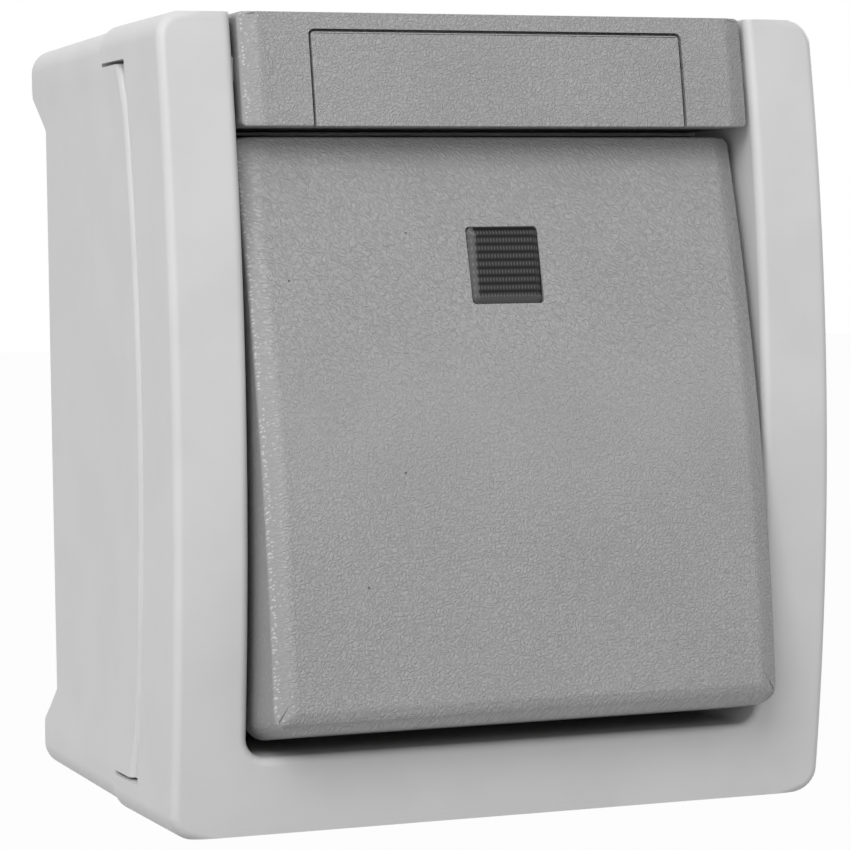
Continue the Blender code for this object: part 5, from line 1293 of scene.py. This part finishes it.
@dataclass
class TopBar(Assembly):
    """Dark bar above the rocker with chamfered ends, a label recess and two hooks behind."""

    half_width: float = 26.15 * MM
    proud: float = 0.3 * MM
    rear: float = -38.5 * MM
    skin: float = 2.6 * MM
    wall: float = 1.6 * MM
    corner: float = 0.6 * MM
    low_corner: float = 0.5 * MM
    edge: float = 0.22 * MM
    label_half: float = 19.05 * MM
    label_top: float = 36.95 * MM
    label_thick: float = 1.1 * MM
    label_corner: float = 0.35 * MM
    groove: float = 0.27 * MM
    groove_edge: float = 0.12 * MM
    label_rear: float = -35.0 * MM
    hook_tail: float = 1.2 * MM

    @property
    def face(self) -> Arch:
        """Arch of the bar's face."""
        return Arch(half=FRONT.half, rise=FRONT.rise, ends_y=FRONT.ends_y - self.proud)

    def slab(self, name: str, half: float, low: float, high: float, rear: float, corner: float) -> Form:
        """Block with rounded top corners, from in front of the bar to a depth."""
        form = Form.block(name, (-half, FRONT.ends_y - PAST, low), (half, rear, high))
        return form.round_edges(lambda e: along(1)(e) and middle(e).z > (low + high) / 2, corner, 8)

    def model(self) -> Form:
        """Models the bar."""
        high = FRONT.half
        form = self.slab("bar_shell", self.half_width, BAR_BOTTOM, high, self.rear, self.corner)
        form.round_edges(lambda e: along(1)(e) and middle(e).z < BAR_BOTTOM + MM, self.low_corner, 8)
        form.common(self.face.tool("face"))
        chamfer_ends(form, self.face, self.half_width)
        form.soften(self.edge, 14, 3)
        label = self.slab("recess", self.label_half + self.groove, BAR_BOTTOM - PAST,
                          self.label_top + self.groove, self.label_rear, self.label_corner + self.groove)
        label.cut(self.face.tool("recess_floor", -self.label_thick - CLEAR))
        form.cut(label)
        hollow = self.slab("hollow", self.half_width - self.wall, BAR_BOTTOM + self.wall, high - self.wall,
                           0, MM)
        form.cut(hollow.common(self.face.tool("hollow_face", -self.skin)))
        inside = self.face.y(HOOK_Z) + self.skin / 2
        web_rear = WEB_FRONT + WEB_THICK
        low, tail = HOOK_Z - HOOK_THICK / 2, web_rear + self.hook_tail
        for side in (-1, 1):
            form.join(block_around("shank", side * HOOK_X, HOOK_HALF, (inside, tail),
                                   (low, low + HOOK_THICK)))
            form.join(block_around("nose", side * HOOK_X, HOOK_HALF, (web_rear + CLEAR, tail),
                                   (low - HOOK_NOSE, HOOK_Z)))
        return form

    def model_label(self) -> Form:
        """Models the label panel."""
        form = self.slab("label_plate", self.label_half, BAR_BOTTOM, self.label_top, self.label_rear,
                         self.label_corner)
        form.common(self.face.tool("label_face"))
        form.cut(self.face.tool("label_back", -self.label_thick))
        return form.soften(self.groove_edge, 30, 3)

    def build(self) -> None:
        """Models, dresses and installs bar and label."""
        self.install(self.model().done(25), Body.HOUSING, Slot.DARK_GRAINED, "top_bar")
        self.install(self.model_label().done(25), Body.HOUSING, Slot.DARK_GRAINED, "label_panel")


@dataclass
class PushRocker(Assembly):
    """Rocker shell with three chamfered edges, clip lugs and a lens collar, and the lens in it."""

    pivot: Place = (0.0, -44.0 * MM, -1.65 * MM)
    tilt: float = -math.radians(9.9)
    half_width: float = 25.9 * MM
    half_height: float = 28.5 * MM
    middle_z: float = -0.75 * MM
    chord: float = -8.9 * MM
    rear: float = 1.1 * MM
    skin: float = 2.0 * MM
    wall: float = 1.6 * MM
    corner: float = 2.0 * MM
    top_corner: float = 0.7 * MM
    inner_corner: float = 0.8 * MM
    low_slope: float = 0.6
    low_relief: float = 0.55 * MM
    edge: float = 0.28 * MM
    lug_x: float = 12.5 * MM
    lug_thick: float = 2.0 * MM
    lug_reach: float = 1.6 * MM
    lug_half: float = 5.2 * MM
    clip_radius: float = 3.3 * MM
    clip_set_in: float = 5.0 * MM
    lens_z: float = 14.9 * MM
    lens_half: Tuple[float, float] = (3.65 * MM, 3.75 * MM)
    lens_proud: float = 0.45 * MM
    lens_sink: float = 0.05 * MM
    lens_rim: float = 0.7 * MM
    lens_corner: float = 0.4 * MM
    lens_edge: float = 0.07 * MM
    lens_fit: float = 0.06 * MM
    ledge: float = 0.8 * MM
    collar: float = 1.2 * MM
    collar_depth: float = 2.4 * MM
    guide_set_in: float = 0.2 * MM

    @property
    def face(self) -> Arch:
        """Arch of the rocker's face, in its own frame."""
        rise = FRONT.radius - math.sqrt(FRONT.radius ** 2 - self.half_height ** 2)
        return Arch(half=self.half_height, rise=rise, ends_y=self.chord, middle_z=self.middle_z)

    @property
    def matrix(self) -> Matrix:
        """Place of the rocker's own frame at rest."""
        return Matrix.Translation(self.pivot) @ Matrix.Rotation(self.tilt, 4, "X")

    def lens_finish(self) -> SmokedLens:
        """Finish of the lens, which knows where the lens lies."""
        return SmokedLens(self.pivot, self.tilt, self.lens_z, self.lens_half[0], self.lens_half[1])

    def lens_block(self, name: str, grown: float, near: float, far: float) -> Form:
        """Block round the lens's outline, between two depths behind the face."""
        front = self.face.y(self.lens_z)
        half, high = self.lens_half[0] + grown, self.lens_half[1] + grown
        return block_around(name, 0, half, (front + near, front + far),
                            (self.lens_z - high, self.lens_z + high))

    def model(self) -> Form:
        """Models the rocker in its own frame."""
        low = self.middle_z - self.half_height + self.low_relief
        high = self.middle_z + self.half_height
        form = Form.block("rocker_shell", (-self.half_width, self.chord - PAST, low),
                          (self.half_width, self.rear, high))
        form.round_edges(lambda e: along(1)(e) and middle(e).z < 0, self.corner, 8)
        form.round_edges(lambda e: along(1)(e) and middle(e).z > high - NEAR, self.top_corner, 8)
        form.common(self.face.tool("face"))
        chamfer_ends(form, self.face, self.half_width)
        line = low + CHAMFER
        form.slice((0, self.face.y(line), line), self.low_chamfer_normal(line, self.low_slope), trim=True)
        form.soften(self.edge, 14, 4)
        half = self.half_width - self.wall
        hollow = Form.block("hollow", (-half, self.chord - PAST, low + self.wall),
                            (half, self.rear + PAST, high - self.wall))
        hollow.round_edges(along(1), self.inner_corner, 4)
        form.cut(hollow.common(self.face.tool("hollow_face", -self.skin)))
        self.add_clips(form)
        return form.turn(self.matrix)

    def low_chamfer_normal(self, z: float, slope: float) -> Vector:
        """Outward normal of the bottom chamfer, which falls back from the face's own slope."""
        face_slope = (z - self.middle_z) / (self.face.axis_y - self.face.y(z))
        fall = math.atan(face_slope) - math.atan(slope)
        return Vector((0, -math.cos(fall), math.sin(fall)))

    def add_clips(self, form: Form) -> None:
        """Adds lugs and lens collar behind the face, and cuts the clip bore and the lens seat."""
        inside = self.face.y(0) + self.skin / 2
        for side in (-1, 1):
            form.join(block_around("lug", side * self.lug_x, self.lug_thick / 2, (inside, self.lug_reach),
                                   (-self.lug_half, self.lug_half)))
        end = self.skin + self.collar_depth
        form.join(self.lens_block("collar", self.collar, self.skin / 2, end))
        reach = self.half_width - self.clip_set_in
        form.cut(Form.rod("clip", self.clip_radius, (-reach, 0, 0), (1, 0, 0), 2 * reach, 64))
        pocket = self.lens_block("pocket", self.lens_fit, -2 * MM, self.ledge + CLEAR)
        form.cut(pocket.round_edges(along(1), self.lens_corner, 5))
        form.cut(self.lens_block("window", -self.ledge, -MM, self.skin + MM))
        form.cut(self.lens_block("guide_seat", -self.guide_set_in, self.skin, end + MM))

    def model_lens(self) -> Form:
        """Models the lens: sloped rim, slightly proud face, and a foot behind."""
        form = self.lens_block("lens_window", 0.0, self.lens_sink, self.ledge)
        fall = self.lens_proud + self.lens_sink
        form.step_face(lambda f: f.normal.y < -0.9, self.lens_rim, (0, -fall, 0))
        form.round_edges(is_corner, self.lens_corner, 5)
        foot = self.ledge + CLEAR
        form.step_face(lambda f: f.normal.y > 0.9, foot, (0, self.skin - CLEAR - self.ledge, 0), True)
        form.soften(self.lens_edge, 20, 3)
        return form.turn(self.matrix)

    def build(self) -> None:
        """Models, dresses and installs rocker and lens."""
        self.install(self.model().done(25), Body.ROCKER, Slot.DARK_GRAINED, "push_rocker",
                     self.wardrobe.rocker_grain)
        self.install(self.model_lens().done(25), Body.ROCKER, Slot.SMOKED_LENS, "indicator_lens")


def is_corner(edge: bmesh.types.BMEdge) -> bool:
    """Test for edges that lead from front to rear, upright or sloped."""
    return abs((edge.verts[1].co - edge.verts[0].co).normalized().y) > 0.3


# Small pieces

@dataclass
class Entries(Assembly):
    """Rubber cable entries at top and bottom, and the plugs of the wall screw holes."""

    wall_out: float = 38.475 * MM
    neck: float = 8.0 * MM
    flange: float = 9.9 * MM
    flange_thick: float = 1.0 * MM
    flange_edge: float = 0.5 * MM
    bore: float = 6.4 * MM
    cup: float = 3.84 * MM
    cup_depth: float = 1.6 * MM
    skin: float = 0.8 * MM
    seal_head: float = 4.6 * MM
    seal_neck: float = 2.3 * MM
    seal_start: float = -5.5 * MM
    seal_thick: float = 1.0 * MM
    seal_length: float = 4.9 * MM
    grommet_edge: float = 0.15 * MM
    seal_edge: float = 0.2 * MM

    def grommet_profile(self) -> List[Tuple[float, float]]:
        """(radius, height) profile of a grommet."""
        high, low = self.wall_out + CLEAR, self.wall_out - WALL - CLEAR
        top, bottom = high + self.flange_thick, low - self.flange_thick
        cup_low = low - self.cup_depth
        return [(0, cup_low), (self.cup, cup_low), (self.cup, low), (self.bore, low), (self.bore, top),
                (self.flange - self.flange_edge, top), (self.flange, high), (self.neck, high),
                (self.neck, low), (self.flange, low), (self.flange, bottom), (self.cup + self.skin, bottom),
                (self.cup + self.skin, cup_low - self.skin), (0, cup_low - self.skin)]

    def build(self) -> None:
        """Models, dresses and installs grommets and plugs."""
        for name, side in (("top", 1), ("bottom", -1)):
            form = Form.turned(f"grommet_{name}", self.grommet_profile(), (0, ENTRY_Y, 0), (0, 0, side))
            form.soften(self.grommet_edge, 30, 3)
            self.install(form.done(), Body.HOUSING, Slot.RUBBER, f"{name}_cable_grommet")
        profile = [(0, 0), (self.seal_head, 0), (self.seal_head, self.seal_thick),
                   (self.seal_neck, self.seal_thick), (self.seal_neck, self.seal_length),
                   (0, self.seal_length)]
        for name, x, z in WALL_HOLES:
            form = Form.turned(f"wall_plug_{name}", profile, (x, self.seal_start, z), (0, 1, 0), 64)
            form.soften(self.seal_edge, 30, 3)
            self.install(form.done(), Body.HOUSING, Slot.RUBBER, f"wall_screw_seal_{name}")


@dataclass
class ReturnSpring(Assembly):
    """Helical spring that shortens with the plunger."""

    radius: float = 2.1 * MM
    wire: float = 0.5 * MM
    turns: int = 6
    closing: float = 0.6
    plunger_y: float = -24.0 * MM
    fixed_end: float = 18.7 * MM

    def build(self) -> None:
        """Models the coil, dresses it and puts it in place of the spring."""
        low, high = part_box("return_spring")
        foot, head = low.z + self.wire / 2, high.z - self.wire / 2
        steps = 32 * self.turns
        bpy.ops.object.select_all(action="DESELECT")
        bpy.ops.curve.primitive_bezier_curve_add()
        item = bpy.context.active_object
        item.name = "spring_coil"
        item.data.splines.clear()
        spline = item.data.splines.new("POLY")
        spline.points.add(steps)
        for i, point in enumerate(spline.points):
            share = i / steps
            angle = 2 * math.pi * self.turns * share
            ease = share - math.sin(2 * math.pi * share) / (2 * math.pi) * self.closing
            point.co = (self.radius * math.cos(angle), self.plunger_y + self.radius * math.sin(angle),
                        foot + (head - foot) * ease, 1)
        item.data.dimensions = "3D"
        item.data.bevel_depth = self.wire / 2
        item.data.bevel_resolution = 4
        item.data.use_fill_caps = True
        bpy.ops.object.convert(target="MESH")
        coil = Form(bpy.context.active_object).done()
        travel = next(j for j in frame["joints"] if j["name"] == "plunger_slide")["range_m"][1]
        self.install(coil, Body.HOUSING, Slot.STEEL, "return_spring")
        1 - travel / (high.z - low.z)
        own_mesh(coil)


# Light and camera

@dataclass(frozen=True)
class Lamp:
    """Square area lamp that looks at the switch."""

    name: str
    place: Place
    size: float
    watts: float
    aim: Place = (0, -25 * MM, 0)

    def build(self) -> None:
        """Adds the lamp."""
        bpy.ops.object.select_all(action="DESELECT")
        bpy.ops.object.light_add(type="AREA", location=self.place)
        lamp = bpy.context.active_object
        lamp.name = f"{self.name}_lamp"
        lamp.data.size = self.size
        lamp.data.energy = self.watts
        way = Vector(self.aim) - Vector(self.place)
        lamp.rotation_euler = way.to_track_quat("-Z", "Y").to_euler()


@dataclass
class Studio:
    """Plain white studio: floor, world, soft lamps and the camera of the photograph."""

    floor_level: float = -70.0 * MM
    floor_half: float = 3.0
    floor_tone: float = 0.35
    floor_white: float = 0.97
    camera_place: Place = (-119.20 * MM, -339.80 * MM, 14.79 * MM)
    view_azimuth_deg: float = 21.01
    view_fall_deg: float = 2.81
    roll_deg: float = -0.83
    focal_px: float = 3242.0
    image_px: float = 850.0
    sensor: float = 36.0
    world_light: float = 0.60
    lamps: Tuple[Lamp, ...] = (
        Lamp("key", (-0.55, -0.82, 0.68), 0.6, 7.7),
        Lamp("left_fill", (-1.1, -0.25, 0.15), 0.9, 1.0),
        Lamp("low_fill", (-0.24, -0.38, -0.05), 0.26, 0.30),
        Lamp("rear_fill", (0.95, 0.60, 0.45), 0.7, 2.6),
    )

    def build(self) -> None:
        """Sets up the whole studio."""
        self.make_floor()
        self.make_world()
        for lamp in self.lamps:
            lamp.build()
        self.make_camera()
        bpy.context.scene.view_settings.view_transform = "Standard"

    def make_floor(self) -> None:
        """Pale floor well below the switch, shown white, with its shadow kept."""
        bpy.ops.object.select_all(action="DESELECT")
        bpy.ops.mesh.primitive_plane_add(size=2 * self.floor_half, location=(0, 0, self.floor_level))
        floor = bpy.context.active_object
        floor.name = "studio_floor"
        graph = Graph.of_material("studio_floor_white")
        plain = graph.node("ShaderNodeBsdfDiffuse", {"Color": (*grey(self.floor_tone), 1)})
        white = graph.node("ShaderNodeEmission", {"Color": (*grey(1.0), 1), "Strength": 1.0})
        share = graph.seen() * self.floor_white
        mixed = graph.node("ShaderNodeMixShader", {0: share, 1: plain, 2: white})
        floor.data.materials.append(graph.end(mixed))

    def make_world(self) -> None:
        """Even white surroundings: full white where seen, softer as light."""
        world = bpy.data.worlds.new("studio_world")
        bpy.context.scene.world = world
        graph = Graph(world)
        soft, white = (graph.node("ShaderNodeBackground", {"Color": (*grey(1.0), 1), "Strength": strength})
                       for strength in (self.world_light, 1.0))
        mixed = graph.node("ShaderNodeMixShader", {0: graph.seen(), 1: soft, 2: white})
        graph.end(mixed, "ShaderNodeOutputWorld")

    def make_camera(self) -> None:
        """Adds the camera at the photograph's angle."""
        turn, fall = math.radians(self.view_azimuth_deg), math.radians(self.view_fall_deg)
        way = Vector((math.sin(turn) * math.cos(fall), math.cos(turn) * math.cos(fall), -math.sin(fall)))
        right = way.cross(Vector((0, 0, 1))).normalized()
        upright = right.cross(way)
        roll = math.radians(self.roll_deg)
        side = right * math.cos(roll) + upright * math.sin(roll)
        top = upright * math.cos(roll) - right * math.sin(roll)
        bpy.ops.object.select_all(action="DESELECT")
        bpy.ops.object.camera_add()
        camera = bpy.context.active_object
        camera.name = "photo_camera"
        camera.matrix_world = Matrix((
            (side.x, top.x, -way.x, self.camera_place[0]),
            (side.y, top.y, -way.y, self.camera_place[1]),
            (side.z, top.z, -way.z, self.camera_place[2]),
            (0, 0, 0, 1),
        ))
        camera.data.sensor_width = self.sensor
        camera.data.lens = self.focal_px * self.sensor / self.image_px
        camera.data.clip_start = 10 * MM
        bpy.context.scene.camera = camera


# Dust on the rocker's face
FLECKS = (
    (-9.84 * MM, -50.66 * MM, 17.94 * MM), (-22.00 * MM, -51.76 * MM, 13.56 * MM),
    (-11.94 * MM, -55.37 * MM, -4.62 * MM), (-16.32 * MM, -56.75 * MM, -15.13 * MM),
)


def main() -> None:
    """Builds the sub-assemblies in order."""
    logging.basicConfig(level=logging.INFO, format="%(name)s: %(message)s")
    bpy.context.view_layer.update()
    wardrobe = Wardrobe(PushRocker(None).lens_finish(), FLECKS)
    for assembly in (CoverFrame, BackBox, TopBar, PushRocker, Entries, ReturnSpring):
        part = assembly(wardrobe)
        part.build()
        LOG.info("%s has %d pieces", assembly.__name__, len(part.pieces))
    wardrobe.dress_nodes()
    Studio().build()


if __name__ == "__main__":
    main()
